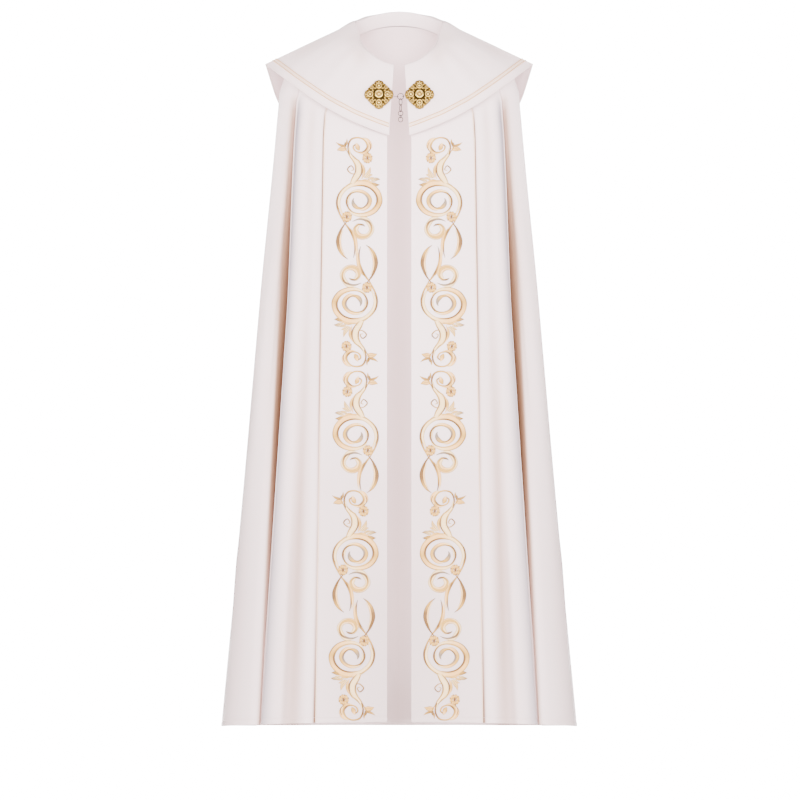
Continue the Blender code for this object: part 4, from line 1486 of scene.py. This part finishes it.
eye = cord("eye_wire",
           lambda t: Vector((eye_middle + EYE_WIDE * math.cos(2 * math.pi * t),
                             TAIL_Y + EYE_DEEP * math.sin(2 * math.pi * t), RING_Z)),
           32, FINE_WIRE, Vector((0, 0, 1)), 12, closed=True)
wire_part(eye, "clasp_eye", "cope")
print("hook and eye", len(hook.data.polygons), len(eye.data.polygons), "faces")

# %% [markdown]
# ## Studio
# A plain pale floor that runs out to a lit white wall, as in a studio for clothes. The
# floor glows more and more towards the wall, so that the two meet without a line.

# %% Floor and wall
FLOOR_Z, STUDIO_RADIUS, WALL_TOP = -2.8, 100.0, 3.5
WALL_GLOW = 18.0


def floor_paint():
    paint = Shader("studio floor", Roughness=0.9, Specular_IOR_Level=0.1,
                   Emission_Strength=WALL_GLOW)
    spot = paint.place()
    x, y, _ = paint.split(spot)
    away = (x * x + y * y) ** 0.5
    glow = ((away - 25) * 0.04).clamp()
    mottle = paint.noise(spot, 3.0)
    colour = paint.mix(mottle, rgb(0.90, 0.90, 0.90), rgb(0.92, 0.92, 0.92))
    return paint.feed(Base_Color=paint.mix(glow, colour, rgb(0.02, 0.02, 0.02)),
                      Emission_Color=paint.mix(glow, rgb(0, 0, 0), rgb(1, 1, 1)))


def wall_paint():
    paint = Shader("studio wall", Roughness=0.9, Specular_IOR_Level=0.0,
                   Emission_Strength=WALL_GLOW)
    mottle = paint.noise(paint.place(), 0.5)
    return paint.feed(Base_Color=paint.mix(mottle, rgb(0.02, 0.02, 0.02),
                                           rgb(0.03, 0.03, 0.03)),
                      Emission_Color=paint.mix(mottle, rgb(1, 1, 1), rgb(0.99, 1, 1)))


only()
bpy.ops.mesh.primitive_circle_add(vertices=96, radius=STUDIO_RADIUS, fill_type="NGON",
                                  location=(0, 0, FLOOR_Z))
floor = settle(named("studio_floor"))
floor.data.materials.append(floor_paint())
only()
bpy.ops.mesh.primitive_cylinder_add(vertices=96, radius=STUDIO_RADIUS, end_fill_type="NOTHING",
                                    depth=WALL_TOP - FLOOR_Z,
                                    location=(0, 0, (WALL_TOP + FLOOR_Z) / 2))
wall = settle(named("studio_wall"))
wall.data.materials.append(wall_paint())
print("studio radius", STUDIO_RADIUS, "m, wall", round(WALL_TOP - FLOOR_Z, 2), "m high")

# %% [markdown]
# ## Light
# The cloth is lit by a soft sky, two lamps in front, one at each side, and a faint tall one
# inside the garment, which keeps the inner side of its back from going dark.

# %% Sky and lamps
world = bpy.context.scene.world or bpy.data.worlds.new("world")
bpy.context.scene.world = world
world.use_nodes = True
sky = world.node_tree.nodes["Background"]
sky.inputs["Color"].default_value = rgb(1.0, 0.92, 0.90)
sky.inputs["Strength"].default_value = 1.3


def soft_light(name, place, aim, size, power):
    data = bpy.data.lights.new(name, "AREA")
    data.energy, data.size = power, size
    lamp = bpy.data.objects.new(name, data)
    lamp.location = place
    lamp.rotation_euler = (Vector(aim) - Vector(place)).to_track_quat("-Z", "Y").to_euler()
    bpy.context.scene.collection.objects.link(lamp)
    return lamp


MIDDLE, LAMP_SIZE = (0, 0, -0.7), 1.2
FRONT_POWER, SIDE_POWER, INSIDE_POWER = 225, 130, 4.6
for name, place, power in (("lamp_left", (1.1, -3.6, 0.6), FRONT_POWER),
                           ("lamp_right", (-1.1, -3.6, 0.6), FRONT_POWER),
                           ("lamp_side_left", (4.0, -1.8, -0.2), SIDE_POWER),
                           ("lamp_side_right", (-4.0, -1.8, -0.2), SIDE_POWER)):
    soft_light(name, place, MIDDLE, LAMP_SIZE, power)

inside = soft_light("lamp_inside", (0, -0.02, -0.75), (0, 1, -0.75), 0.25, INSIDE_POWER)
inside.data.shape = "RECTANGLE"
inside.data.size_y = 1.2
print("lamps", [lamp.name for lamp in bpy.data.objects if lamp.type == "LIGHT"])
